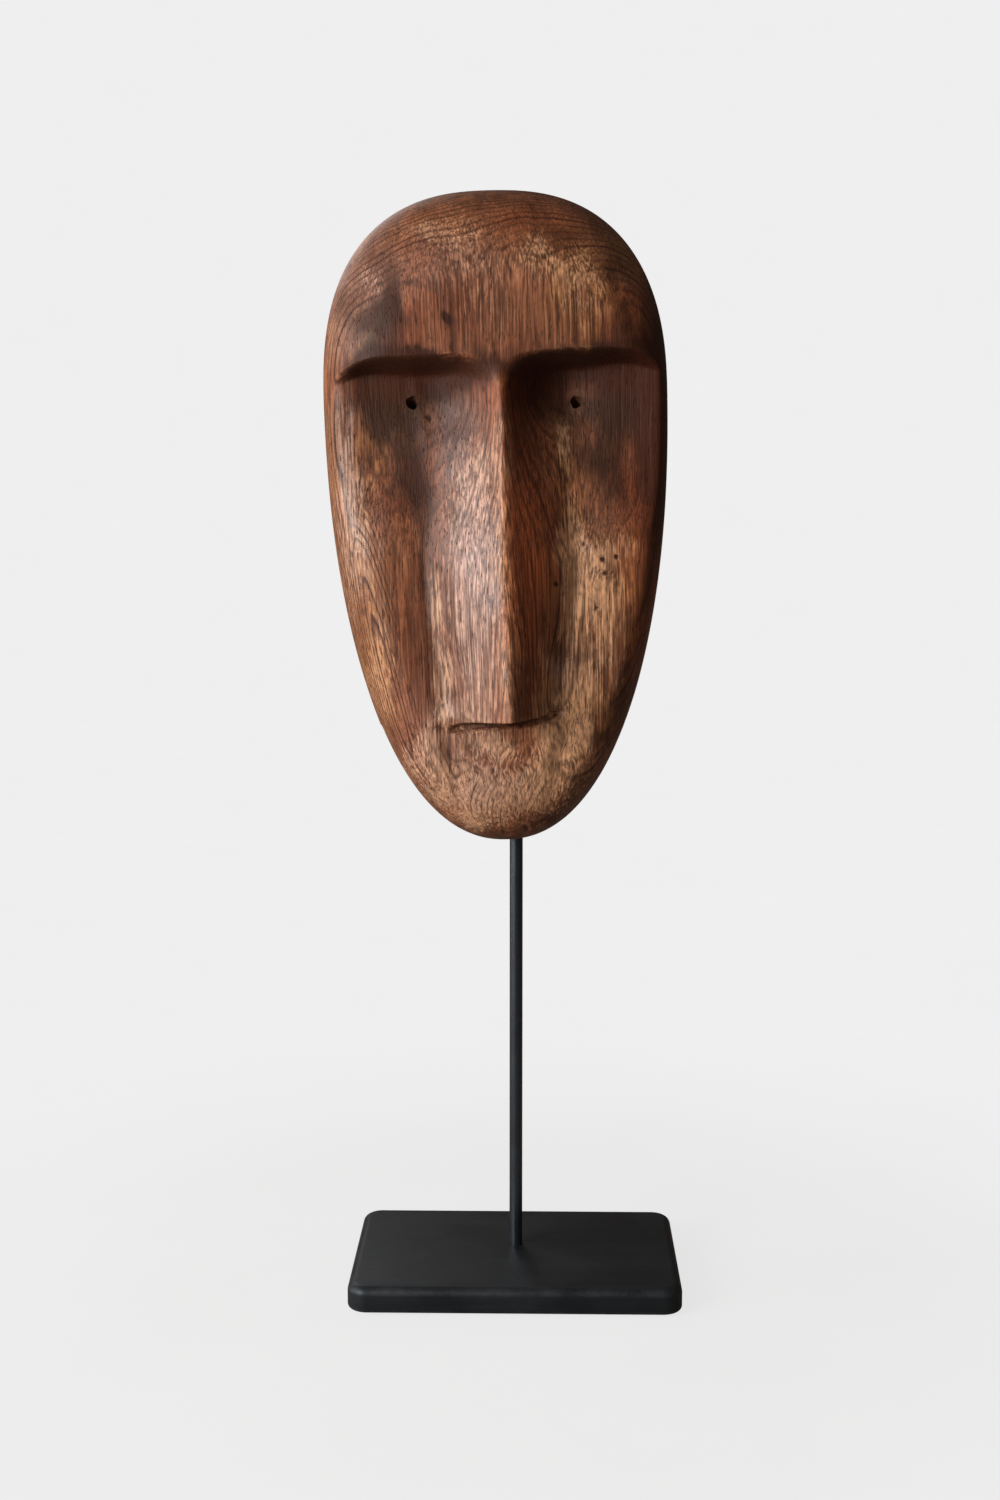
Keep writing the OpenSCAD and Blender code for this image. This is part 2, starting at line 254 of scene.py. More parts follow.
class Graph:
    """Adds and joins shader nodes in few words."""

    def __init__(self, tree: bpy.types.NodeTree) -> None:
        """Keeps the tree that nodes are added to.

        Args:
            tree: A material's or a group's node tree.
        """
        self.tree = tree

    def add(self, kind: str, **settings: object) -> bpy.types.Node:
        """Adds a node.

        Args:
            kind: The node's type name.
            **settings: Properties to set on the node.

        Returns:
            The new node.
        """
        made = self.tree.nodes.new(kind)
        for name, value in settings.items():
            setattr(made, name, value)
        return made

    def feed(self, socket: Socket, value: object) -> None:
        """Joins a socket to another, or sets its own value.

        Args:
            socket: The input to fill.
            value: An output socket, a number, a colour or a vector.
        """
        if isinstance(value, bpy.types.NodeSocket):
            self.tree.links.new(value, socket)
        else:
            socket.default_value = value

    def math(self, operation: str, a: Value, b: Value = 0.0, clamp: bool = False) -> Socket:
        """Adds a math node.

        Args:
            operation: The operation's name.
            a: The first number.
            b: The second number.
            clamp: Whether the result is held between 0 and 1.

        Returns:
            The result.
        """
        made = self.add("ShaderNodeMath", operation=operation, use_clamp=clamp)
        self.feed(made.inputs[0], a)
        self.feed(made.inputs[1], b)
        return made.outputs[0]

    def plus(self, a: Value, b: Value, clamp: bool = False) -> Socket:
        """Adds two numbers."""
        return self.math("ADD", a, b, clamp)

    def less(self, a: Value, b: Value) -> Socket:
        """Takes the second number from the first."""
        return self.math("SUBTRACT", a, b)

    def times(self, a: Value, b: Value, clamp: bool = False) -> Socket:
        """Multiplies two numbers."""
        return self.math("MULTIPLY", a, b, clamp)

    def most(self, a: Value, b: Value, clamp: bool = False) -> Socket:
        """Gives the larger of two numbers."""
        return self.math("MAXIMUM", a, b, clamp)

    def ease(self, value: Value, low: float, high: float, to_low: float = 0.0,
             to_high: float = 1.0, smooth: bool = True) -> Socket:
        """Maps a range onto another, held at both ends.

        Args:
            value: The number to map.
            low: The input that gives to_low.
            high: The input that gives to_high.
            to_low: The result at or below low.
            to_high: The result at or above high.
            smooth: Whether the ends are eased.

        Returns:
            The mapped number.
        """
        made = self.add("ShaderNodeMapRange", clamp=True,
                        interpolation_type="SMOOTHSTEP" if smooth else "LINEAR")
        for name, number in (("From Min", low), ("From Max", high),
                             ("To Min", to_low), ("To Max", to_high)):
            made.inputs[name].default_value = number
        self.feed(made.inputs["Value"], value)
        return made.outputs["Result"]

    def blend(self, share: Value, a: object, b: object, kind: str = "MIX") -> Socket:
        """Mixes two colours.

        Args:
            share: How much of the second shows.
            a: The first colour.
            b: The second colour.
            kind: The blend type.

        Returns:
            The mixed colour.
        """
        made = self.add("ShaderNodeMix", data_type="RGBA", blend_type=kind, clamp_factor=True)
        self.feed(made.inputs[0], share)
        self.feed(made.inputs[6], a if isinstance(a, bpy.types.NodeSocket) else (*a, 1.0))
        self.feed(made.inputs[7], b if isinstance(b, bpy.types.NodeSocket) else (*b, 1.0))
        return made.outputs[2]

    def stretched(self, vector: Socket, size: Sequence[float], shift: float = 0.0) -> Socket:
        """Scales a pattern so that one unit of it spans the given sizes.

        Args:
            vector: The coordinates, in millimetres.
            size: The pattern's size along each axis, in millimetres.
            shift: Moves the pattern, so that each use differs.

        Returns:
            The scaled coordinates.
        """
        made = self.add("ShaderNodeMapping", vector_type="POINT")
        made.inputs["Scale"].default_value = [1.0 / s for s in size]
        made.inputs["Location"].default_value = (shift, shift * 0.7, shift * 1.3)
        self.feed(made.inputs["Vector"], vector)
        return made.outputs[0]

    def noise(self, vector: Socket, size: Sequence[float], detail: float = 2.0,
              rough: float = 0.5, shift: float = 0.0, distortion: float = 0.0) -> Socket:
        """Adds a noise pattern of a given size.

        Args:
            vector: The coordinates, in millimetres.
            size: The pattern's size along each axis, in millimetres.
            detail: How many finer layers are added.
            rough: How strong the finer layers are.
            shift: Moves the pattern, so that each use differs.
            distortion: How much the pattern is swirled.

        Returns:
            The noise, from 0 to 1.
        """
        made = self.add("ShaderNodeTexNoise", noise_dimensions="3D")
        self.feed(made.inputs["Vector"], self.stretched(vector, size, shift))
        for name, number in (("Scale", 1.0), ("Detail", detail), ("Roughness", rough),
                             ("Distortion", distortion)):
            made.inputs[name].default_value = number
        return made.outputs[0]

    def swayed(self, vector: Socket, size: Sequence[float], reach: float, shift: float) -> Socket:
        """Bends coordinates gently, so that straight lines wander.

        Args:
            vector: The coordinates, in millimetres.
            size: Size of the bends along each axis, in millimetres.
            reach: How far the lines stray, in millimetres.
            shift: Moves the pattern, so that each use differs.

        Returns:
            The bent coordinates.
        """
        bends = self.add("ShaderNodeTexNoise", noise_dimensions="3D")
        self.feed(bends.inputs["Vector"], self.stretched(vector, size, shift))
        for name, number in (("Scale", 1.0), ("Detail", 1.0), ("Roughness", 0.5)):
            bends.inputs[name].default_value = number
        made = self.add("ShaderNodeVectorMath", operation="MULTIPLY_ADD")
        self.feed(made.inputs[0], bends.outputs["Color"])
        made.inputs[1].default_value = (2 * reach, 2 * reach, 0.0)
        self.feed(made.inputs[2], vector)
        return made.outputs[0]

    def cells(self, vector: Socket, size: Sequence[float], shift: float = 0.0) -> bpy.types.Node:
        """Adds a cell pattern of a given size.

        Args:
            vector: The coordinates, in millimetres.
            size: The cells' size along each axis, in millimetres.
            shift: Moves the pattern.

        Returns:
            The node, with its Distance and Color outputs.
        """
        made = self.add("ShaderNodeTexVoronoi", feature="F1")
        self.feed(made.inputs["Vector"], self.stretched(vector, size, shift))
        for name in ("Scale", "Randomness"):
            made.inputs[name].default_value = 1.0
        return made

    def attribute(self, name: str) -> Socket:
        """Reads a number stored on the mesh.

        Args:
            name: The attribute's name.

        Returns:
            Its value.
        """
        made = self.add("ShaderNodeAttribute", attribute_type="GEOMETRY", attribute_name=name)
        return made.outputs["Fac"]

    def place(self, group: bpy.types.NodeTree, **values: object) -> bpy.types.Node:
        """Places a shared group.

        Args:
            group: The group's tree.
            **values: A value or a socket for each input, spaces written as underscores.

        Returns:
            The group's node.
        """
        made = self.add("ShaderNodeGroup", node_tree=group)
        for name, value in values.items():
            self.feed(made.inputs[name.replace("_", " ")], value)
        return made


def new_group(name: str, inputs: Iterable[tuple[str, str, object]],
              outputs: Iterable[tuple[str, str]]) -> tuple[Graph, bpy.types.Node, bpy.types.Node]:
    """Starts a shared node group.

    Args:
        name: The group's name.
        inputs: Name, socket type and default of each input.
        outputs: Name and socket type of each output.

    Returns:
        The group's graph, its input node and its output node.
    """
    tree = bpy.data.node_groups.new(name, "ShaderNodeTree")
    for label, kind, default in inputs:
        socket = tree.interface.new_socket(name=label, in_out="INPUT", socket_type=kind)
        if default is not None:
            socket.default_value = default
    for label, kind in outputs:
        tree.interface.new_socket(name=label, in_out="OUTPUT", socket_type=kind)
    graph = Graph(tree)
    return graph, graph.add("NodeGroupInput"), graph.add("NodeGroupOutput")


FLOAT = "NodeSocketFloat"
VECTOR = "NodeSocketVector"


@dataclass(frozen=True)
class SharedEffects:
    """The node groups that more than one finish uses."""

    timber: bpy.types.NodeTree
    wear: bpy.types.NodeTree
    lint: bpy.types.NodeTree

    @classmethod
    def build(cls) -> "SharedEffects":
        """Builds each group once.

        Returns:
            The set of groups.
        """
        return cls(timber=cls._timber(), wear=cls._wear(), lint=cls._lint())

    @staticmethod
    def _timber() -> bpy.types.NodeTree:
        """Builds growth rings, long fibres and open pores of timber whose grain runs along Z.

        Returns:
            The group.
        """
        g, into, out = new_group(
            "timber_grain",
            [("Vector", VECTOR, None), ("Pith", VECTOR, (0.0, 90.0, 0.0)), ("Ring Size", FLOAT, 2.0),
             ("Wander", FLOAT, 3.0)],
            [("Rings", FLOAT), ("Fibre", FLOAT), ("Streak", FLOAT), ("Pores", FLOAT), ("Figure", FLOAT)])
        at = g.swayed(into.outputs["Vector"], (34.0, 34.0, 150.0), 3.2, 3.1)
        at = g.swayed(at, (7.0, 7.0, 34.0), 0.35, 7.7)
        away = g.add("ShaderNodeVectorMath", operation="SUBTRACT")
        g.feed(away.inputs[0], at)
        g.feed(away.inputs[1], into.outputs["Pith"])
        flat = g.add("ShaderNodeVectorMath", operation="MULTIPLY")
        g.feed(flat.inputs[0], away.outputs[0])
        flat.inputs[1].default_value = (1.0, 1.0, 0.0)
        length = g.add("ShaderNodeVectorMath", operation="LENGTH")
        g.feed(length.inputs[0], flat.outputs[0])
        broad = g.less(g.noise(at, (26.0, 26.0, 80.0), 1.0, 0.5, 4.1), 0.5)
        sway = g.times(broad, g.times(into.outputs["Wander"], 2.0))
        turn = g.math("DIVIDE", g.plus(length.outputs["Value"], sway), into.outputs["Ring Size"])
        part = g.math("FRACT", turn)
        luck = g.add("ShaderNodeTexWhiteNoise", noise_dimensions="1D")
        g.feed(luck.inputs["W"], g.math("FLOOR", turn))
        strong = g.ease(luck.outputs["Value"], 0.0, 1.0, 0.45, 1.0, smooth=False)
        late = g.times(g.ease(part, 0.42, 0.80), g.ease(part, 0.86, 1.0, 1.0, 0.0))
        figure = g.noise(at, (15.0, 15.0, 42.0), 3.0, 0.55, 9.4)
        dash = g.noise(at, (0.55, 0.55, 7.0), 1.5, 0.5, 11.8)
        early = g.ease(part, 0.0, 0.6, 1.0, 0.0)
        gate = g.plus(dash, g.times(early, 0.04))
        for name, value in (
                ("Rings", g.times(late, strong)),
                ("Fibre", g.noise(at, (0.85, 0.85, 60.0), 2.0, 0.5, 1.3)),
                ("Streak", g.noise(at, (4.4, 4.4, 120.0), 2.0, 0.5, 5.9)),
                ("Pores", g.ease(gate, 0.63, 0.72)),
                ("Figure", figure)):
            g.feed(out.inputs[name], value)
        return g.tree

    @staticmethod
    def _wear() -> bpy.types.NodeTree:
        """Builds a mask of rubbed edges, broken up so that no edge is worn evenly.

        Returns:
            The group.
        """
        g, into, out = new_group(
            "rubbed_edges",
            [("Vector", VECTOR, None), ("Edge", FLOAT, 0.0), ("Amount", FLOAT, 0.5)],
            [("Wear", FLOAT)])
        at = into.outputs["Vector"]
        patch = g.noise(at, (14.0, 14.0, 14.0), 3.0, 0.6, 2.4)
        grit = g.noise(at, (0.8, 0.8, 0.8), 2.0, 0.6, 4.9)
        spread = g.plus(g.times(patch, 0.75), g.times(grit, 0.35))
        reach = g.times(into.outputs["Edge"], g.ease(spread, 0.42, 0.68))
        g.feed(out.inputs["Wear"], g.times(reach, into.outputs["Amount"], clamp=True))
        return g.tree

    @staticmethod
    def _lint() -> bpy.types.NodeTree:
        """Builds fine settled dust and a thin film of it.

        Returns:
            The group.
        """
        g, into, out = new_group(
            "settled_dust",
            [("Vector", VECTOR, None), ("Amount", FLOAT, 0.5)],
            [("Dust", FLOAT)])
        at = into.outputs["Vector"]
        speck = g.cells(at, (2.6, 2.6, 2.6), 1.0)
        dot = g.ease(speck.outputs["Distance"], 0.05, 0.13, 1.0, 0.0)
        chosen = g.ease(g.noise(at, (3.0, 3.0, 3.0), 0.0, 0.5, 6.0), 0.52, 0.6)
        film = g.ease(g.noise(at, (26.0, 26.0, 26.0), 4.0, 0.6, 8.0), 0.4, 0.75, 0.0, 0.35)
        total = g.most(g.times(dot, chosen), film)
        g.feed(out.inputs["Dust"], g.times(total, into.outputs["Amount"], clamp=True))
        return g.tree


def new_material(name: str) -> tuple[bpy.types.Material, Graph, bpy.types.Node]:
    """Starts a material.

    Args:
        name: The material's name.

    Returns:
        The material, its graph and its shader.
    """
    made = bpy.data.materials.new(name)
    made.use_nodes = True
    return made, Graph(made.node_tree), made.node_tree.nodes["Principled BSDF"]


def in_millimetres(graph: Graph, place: Sequence[float] = (0.0, 0.0, 0.0),
                   turn: Sequence[float] = (0.0, 0.0, 0.0)) -> Socket:
    """Gives the piece's own coordinates in millimetres.

    Args:
        graph: The material's graph.
        place: Where the pattern's origin lies, in metres.
        turn: The pattern's turn about each axis, in radians.

    Returns:
        The coordinates.
    """
    made = graph.add("ShaderNodeMapping", vector_type="TEXTURE")
    made.inputs["Location"].default_value = place
    made.inputs["Rotation"].default_value = turn
    made.inputs["Scale"].default_value = (MM, MM, MM)
    graph.feed(made.inputs["Vector"], graph.add("ShaderNodeTexCoord").outputs["Object"])
    return made.outputs[0]


def add_bump(graph: Graph, shader: bpy.types.Node, height: Socket, depth: float) -> None:
    """Raises a fine pattern on a shader's surface.

    Args:
        graph: The material's graph.
        shader: The shader that takes the normal.
        height: The pattern, from 0 to 1.
        depth: How far 1 stands above 0, in millimetres.
    """
    made = graph.add("ShaderNodeBump")
    made.inputs["Strength"].default_value = 1.0
    made.inputs["Distance"].default_value = depth * MM
    graph.feed(made.inputs["Height"], height)
    graph.feed(shader.inputs["Normal"], made.outputs[0])


# ---------------------------------------------------------------- the carved shape


def smooth(low: float, high: float, value: Array) -> Array:
    """Eased step from 0 at low to 1 at high.

    Args:
        low: Where the step starts.
        high: Where the step ends.
        value: The numbers to step.

    Returns:
        Numbers from 0 to 1.
    """
    part = np.clip((np.asarray(value, float) - low) / (np.asarray(high, float) - low), 0.0, 1.0)
    return part * part * (3 - 2 * part)


def quarter(distance: Array, radius: Array) -> Array:
    """Height of a quarter round at a distance from its edge.

    Args:
        distance: Distance inside the edge.
        radius: Radius of the round.

    Returns:
        Share of the full height, from 0 to 1.
    """
    part = 1 - np.clip(distance / radius, 0.0, 1.0)
    return np.sqrt(np.maximum(0.0, 1 - part * part))


def soft_pick(a: Array, b: Array, width: Array, sign: float) -> Array:
    """The larger or the smaller of two surfaces, with a rounded join.

    Args:
        a: The first surface.
        b: The second surface.
        width: How wide the join is rounded.
        sign: 1 for the larger, -1 for the smaller.

    Returns:
        The joined surface.
    """
    return 0.5 * (a + b + sign * np.sqrt((a - b) ** 2 + width * width))


def bump(value: Array, middle: Array, width: float) -> Array:
    """A rounded bump of height 1.

    Args:
        value: The numbers it is taken at.
        middle: Where it is highest.
        width: How wide it is.

    Returns:
        Numbers from 0 to 1.
    """
    return np.exp(-((value - middle) / width) ** 2)


@dataclass(frozen=True)
class Relief:
    """The carved block's form in millimetres: x across, h up from the chin, depth out to the front."""

    height: float = 289.0
    half: float = 76.5
    widest: float = 198.0
    brow_level: float = 216.0
    brow_slope: float = 5.0
    brow_lip: float = 1.0
    root_slope: float = 5.0
    root_width: float = 12.0
    ridge_round: float = 1.6
    nose_level: float = 59.0
    nose_cut: float = 1.8
    rim_back: float = 13.0
    rim_round: float = 11.0
    hollow_low: float = 62.0
    hollow_middle: float = 170.0
    hollow_high: float = 273.0
    hollow_margin: float = 15.0
    hollow_depth: float = 21.0

    def half_width(self, h: Array) -> Array:
        """Half the mask's width at height h.

        Args:
            h: Heights above the chin, in millimetres.

        Returns:
            One half width per height, in millimetres.
        """
        up = np.clip((h - self.widest) / (self.height - self.widest), 0, 1)
        down = np.clip((self.widest - h) / self.widest, 0, 1)
        crown = (1 - up ** 2.5) ** (1 / 2.5)
        jaw = (1 - down ** 2.15) ** (1 / 2.2)
        return self.half * np.where(h > self.widest, crown, jaw)

    def inset(self, x: Array, h: Array) -> Array:
        """Distance inside the outline, with no kink on the centre line.

        Args:
            x: Places across, in millimetres.
            h: Heights above the chin, in millimetres.

        Returns:
            One distance per place, in millimetres.
        """
        low = np.clip(h - 0.5, 0.02, self.height - 0.02)
        high = np.clip(h + 0.5, 0.02, self.height - 0.02)
        slope = (self.half_width(high) - self.half_width(low)) / np.maximum(high - low, 0.001)
        width = np.maximum(self.half_width(h), 1e-4)
        part = np.clip(np.abs(x) / width, 0, 1)
        return 0.5 * width * (1 - part * part) / np.sqrt(1 + slope ** 2)

    def block(self, x: Array, h: Array) -> Array:
        """Front of the egg-shaped block before the face is cut into it.

        Args:
            x: Places across, in millimetres.
            h: Heights above the chin, in millimetres.

        Returns:
            How far out the block stands at each place.
        """
        depth = 32.5 + 9.5 * smooth(20, 216, h) - 2.5 * smooth(235, 289, h)
        radius = 22 - 3.5 * x / self.half + 21 * smooth(215, 289, h) + 3 * smooth(0, 40, 40 - h)
        arch = 1 - 0.1 * np.clip(np.abs(x) / self.half, 0, 1) ** 2
        return depth * arch * quarter(self.inset(x, h), radius)

    def brow(self, x: Array) -> Array:
        """Height of the brow's lower edge.

        Args:
            x: Places across, in millimetres.

        Returns:
            One height per place across.
        """
        reach = np.where(x < 0, 22.0, 16.0)
        drop = np.where(x < 0, 5.5, 2.8)
        outer = np.clip((np.abs(x) - 47) / reach, 0, 2)
        return self.brow_level + 0.02 * x - drop * outer * outer - 3.0 * bump(x, 1.2, 9)

    def cheek(self, x: Array, h: Array) -> Array:
        """Front of the cheeks and the eye sockets.

        Args:
            x: Places across, in millimetres.
            h: Heights above the chin, in millimetres.

        Returns:
            How far out they stand at each place.
        """
        floor = 25.0 + 4.0 * smooth(0, 75, 195 - h)
        swell = 2.0 * bump(np.abs(x), 48, 13) * smooth(0, 40, 175 - h) * smooth(40, 70, h)
        line = 133 + 16 * np.clip((x - 28) / 35, 0, 1.3) ** 1.5
        step = np.where(x > 0, 2.0 * smooth(0, 20, h - line + 8) * smooth(18, 30, x), 0)
        left = np.where(x < 0, 1.6 * smooth(130, 165, h), 0)
        scoop = 5.5 * bump(x, 24, 17) * bump(h, 201, 17) + 4.0 * bump(x, -24, 17) * bump(h, 201, 17)
        dish = 2.0 * np.clip((np.abs(x) - 52) / 18, 0, 1) ** 2 * smooth(150, 190, h)
        return floor + swell - step - left - scoop + dish

    def ridge(self, h: Array) -> Array:
        """Where the nose's ridge runs."""
        return 1.2 - 0.8 * smooth(190, self.brow_level, h) - 0.8 * bump(h, 125, 25)

    def ledge_slope(self, x: Array) -> Array:
        """How far under the brow's edge the ledge slopes away, which is furthest at the nose's root."""
        return (self.brow_slope + 3.0 * smooth(0, 25, 62 - np.abs(x))
                + self.root_slope * bump(x, 1.2, self.root_width))

    def nose_half(self, x: Array, h: Array) -> Array:
        """Half width of the nose on the side that x is on.

        Args:
            x: Places across, in millimetres.
            h: Heights above the chin, in millimetres.

        Returns:
            One half width per place.
        """
        left = 21.0 + 6.5 * smooth(56, 112, h) + 7.5 * smooth(140, 212, h)
        right = 15.5 + 10.0 * smooth(60, 132, h) - 1.0 * smooth(136, 212, h)
        return np.where(x < self.ridge(h), left, right)

    def nose(self, x: Array, h: Array) -> Array:
        """Front of the nose, with its two flat flanks.

        Args:
            x: Places across, in millimetres.
            h: Heights above the chin, in millimetres.

        Returns:
            How far out it stands at each place.
        """
        half = self.nose_half(x, h)
        off = np.hypot(x - self.ridge(h), self.ridge_round) - self.ridge_round
        top = 41.5 + 13.0 * np.clip((self.brow_level - h) / 154, 0, 1.2) ** 0.9
        foot = self.cheek(x, h) + 2.6 * smooth(0, 50, 170 - h)
        part = np.clip(1 - off / half, 0, 1)
        plane = part + 0.16 * part * (1 - part)
        share = smooth(130, 205, h)
        shape = plane * (1 - share) + part ** (2.1 - 0.6 * smooth(188, 214, h)) * share
        return foot + (top - foot) * shape - 0.8 * np.maximum(off - half, 0)

    def creases(self, x: Array, h: Array) -> Array:
        """Depth of the shallow creases that part the chin from the cheeks.

        Args:
            x: Places across, in millimetres.
            h: Heights above the chin, in millimetres.

        Returns:
            One depth per place.
        """
        left = 1.5 * bump(x, -27 + 0.2 * (52 - h), 3.2)
        right = 0.9 * bump(x, 27 - 0.25 * (52 - h), 4.0)
        return (left + right) * smooth(12, 26, h) * smooth(0, 14, 62 - h)

    def nose_end(self, x: Array) -> Array:
        """Height of the nose's cut lower end."""
        return self.nose_level + 0.05 * x + 2.5 * smooth(15, 21, x) - smooth(0, 7, -18 - x)

    def front(self, x: Array, h: Array) -> Array:
        """The whole carved front.

        Args:
            x: Places across, in millimetres.
            h: Heights above the chin, in millimetres.

        Returns:
            How far out the wood stands at each place.
        """
        block = self.block(x, h)
        beside = bump(np.abs(x - self.ridge(h)), self.nose_half(x, h) + 3.5, 5.0)
        valley = 1.8 * beside * smooth(0, 40, 160 - h) * smooth(40, 62, h)
        lip = (36.0 - 5.5 * ((x + 1.2) / 30) ** 2 - 4.0 * bump(h, 51, 9) * np.exp(-(x / 25) ** 4)
               - 0.5 * np.maximum(h - self.nose_level, 0))
        plain = soft_pick(block, soft_pick(self.cheek(x, h) - valley, lip, 2.5, 1), 3.0, -1)
        plain = plain - self.creases(x, h)
        end = self.nose_end(x)
        cut = smooth(0, self.nose_cut, h - end + self.nose_cut)
        nosed = soft_pick(plain, self.nose(x, h), 2.5 + 2.5 * smooth(110, 160, h), 1)
        groove = 2.6 * bump(h, end - 2.7, 2.0) * smooth(0, 6, 27 - np.abs(x - 0.5))
        face = plain - groove * (1 - cut) + (nosed - plain) * cut
        slope = self.ledge_slope(x)
        ledge = smooth(0, slope + self.brow_lip, h - self.brow(x) + slope)
        return np.maximum(face + (block - face) * ledge, 0)

    def hollow(self, x: Array, h: Array) -> Array:
        """How deep inside the gouged hollow on the back each place is.

        Args:
            x: Places across, in millimetres.
            h: Heights above the chin, in millimetres.

        Returns:
            0 on the rim, rising to 1 inside.
        """
        width = np.maximum(self.half_width(h) - self.hollow_margin, 0.5)
        rise = np.where(h > self.hollow_middle,
                        (h - self.hollow_middle) / (self.hollow_high - self.hollow_middle),
                        (self.hollow_middle - h) / (self.hollow_middle - self.hollow_low))
        inside = 1 - np.minimum(np.abs(x) / width, 4) ** 2.4 - np.clip(rise, 0, 4) ** 3
        return smooth(0, 0.7, inside)

    def rear(self, x: Array, h: Array) -> Array:
        """The back, with a rounded rim round the hollow."""
        rim = self.rim_back * quarter(self.inset(x, h), self.rim_round)
        return rim - self.hollow_depth * self.hollow(x, h)

    def levels(self, rows: int) -> Array:
        """Heights of the rows of points, closer together at the brow and the nose's end.

        Args:
            rows: How many steps there are from chin to crown.

        Returns:
            One more height than there are steps.
        """
        cut_low, cut_high = self.nose_level - self.nose_cut - 4.5, self.nose_level + 1.0
        brow_low = self.brow_level - self.brow_slope - 1.0
        brow_high = self.brow_level + self.brow_lip + 0.6
        heights = [0.0, cut_low, cut_high, brow_low, brow_high, self.height]
        shares = [0.0, 0.225, 0.285, 0.70, 0.775, 1.0]
        part = np.linspace(0, 1, rows + 1)
        found = np.interp(part, shares, heights)
        chin = part < shares[1]
        crown = part > shares[4]
        rise = part[chin] / shares[1]
        found[chin] = cut_low * (0.07 * rise + 0.93 * (1 - np.cos(np.pi / 2 * rise)))
        turn = (part[crown] - shares[4]) / (1 - shares[4])
        spread = 0.06 * turn + 0.94 * np.sin(np.pi / 2 * turn)
        found[crown] = brow_high + (self.height - brow_high) * spread
        return found

    def row_bend(self, x: Array, level: Array) -> Array:
        """How far a row strays from its level, to follow the brow and the nose's end."""
        return ((self.brow(x) - self.brow_level) * bump(level, self.brow_level, 16)
                + (self.nose_end(x) - self.nose_level) * bump(level, self.nose_level, 7))


@dataclass(frozen=True)
class MaskPlace:
    """Where the drawn mask stands: beside the rod's axis, leaning a little and turned a little."""

    side_shift: float = -4.3
    chin_level: float = 207.0
    lean: float = 1.5
    turn: float = 3.0

    def location(self) -> tuple[float, float, float]:
        """Place of the chin, in metres."""
        return (self.side_shift * MM, 0.0, self.chin_level * MM)

    def rotation(self, tilt: float = 0.0) -> tuple[float, float, float]:
        """Turn about each axis, in radians.

        Args:
            tilt: An extra tilt about the mask's own X axis, in degrees.

        Returns:
            The three angles.
        """
        return (math.radians(tilt), math.radians(-self.lean), math.radians(self.turn))

    def matrix(self) -> Matrix:
        """Takes a drawn point in millimetres to its place in metres."""
        turn = Euler(self.rotation(), "XYZ").to_matrix().to_4x4()
        return Matrix.Translation(self.location()) @ turn @ Matrix.Scale(MM, 4)

    def to_world(self, points: Array) -> Array:
        """Takes drawn points in millimetres to metres."""
        m = np.array(self.matrix())
        return points @ m[:3, :3].T + m[:3, 3]

    def to_drawn(self, points: Array) -> Array:
        """Takes points in metres back to drawn millimetres."""
        m = np.array(self.matrix().inverted())
        return points @ m[:3, :3].T + m[:3, 3]


@dataclass(frozen=True)
class Spot:
    """A soft-edged patch on the face: its middle, its reach across and up, and its strength."""

    x: float
    h: float
    rx: float
    rh: float
    strength: float = 1.0

    def cover(self, x: Array, h: Array) -> Array:
        """How strongly the patch covers each place."""
        off = ((x - self.x) / self.rx) ** 2 + ((h - self.h) / self.rh) ** 2
        return self.strength * np.exp(-off ** 1.25)


def patches(*rows: Sequence[float]) -> tuple[Spot, ...]:
    """Makes a patch of each row of numbers, in the order of a patch's fields."""
    return tuple(Spot(*row) for row in rows)


def covered(spots: Sequence[Spot], x: Array, h: Array) -> Array:
    """Adds up patches, held between 0 and 1.

    Args:
        spots: The patches.
        x: Places across.
        h: Places up.

    Returns:
        How strongly each place is covered.
    """
    return np.clip(sum(spot.cover(x, h) for spot in spots), 0.0, 1.0)


# Where the face is darkened by stains and painted shadows, worn pale and brightened with painted light,
# yellowed, given a painted rose and grey sheen and reddened with a painted shade colour, where its grain
# flares, cups and curls, and its worm pits. All are in millimetres on the drawn mask.
# Stains, and painted shadows: under both brows, down the right edge where the face lies in shade, and as
# a dark line under the nose's end.
STAINS_AND_PAINTED_SHADOWS = patches(
    (-45, 205, 24, 13, 1.0), (-40, 176, 12, 26, 0.85), (-19, 205, 14, 10, 0.75),
    (-18, 182, 9, 10, 0.55), (25, 198, 20, 20, 0.9), (50, 164, 11, 33, 0.75), (56, 204, 13, 20, 0.9),
    (-39, 212, 25, 6, 0.9), (34, 212, 27, 6, 0.95), (30, 265, 13, 6, 0.6), (50, 251, 6, 9, 0.6),
    (-50, 230, 13, 13, 0.8), (-43, 240, 6, 11, 0.6), (3, 279, 18, 5, 0.45), (52, 230, 8, 10, 0.6),
    (-40, 90, 5, 32, 0.55), (32, 86, 6, 6, 0.6), (-21, 230, 2.7, 4, 1.1), (1, 56.5, 27, 2.2, 0.8),
    (-3, 7, 22, 3.5, 0.5), (71, 190, 10, 80, 1.0), (52, 66, 8, 34, 0.45), (-46, 252, 9, 7, 0.35),
    (-6, 98, 6, 12, 0.3), (-20, 148, 4, 7, 0.45), (-25, 112, 3, 7, 0.45), (38, 48, 8, 7, 0.35),
    (10, 206, 9, 10, 0.45), (-12, 40, 12, 8, 0.3), (-33, 150, 6, 14, 0.5), (-24, 36, 3, 14, 0.2),
    (62, 120, 6, 30, 0.35), (-4, 211, 9, 8, 0.6), (-54, 190, 7, 12, 0.6), (66, 192, 7, 22, 0.8),
    (-36, 164, 9, 9, 0.3), (-30, 152, 5, 8, 0.2), (36, 170, 10, 8, 0.45), (-30, 47, 5, 5, 0.5),
    (42, 48, 6, 6, 0.4), (30, 29, 7, 7, 0.5), (18, 12, 6, 4, 0.5), (54, 100, 6, 12, 0.35),
    (-31, 207, 9, 9, 0.7), (-66, 240, 6, 8, 0.5),
)
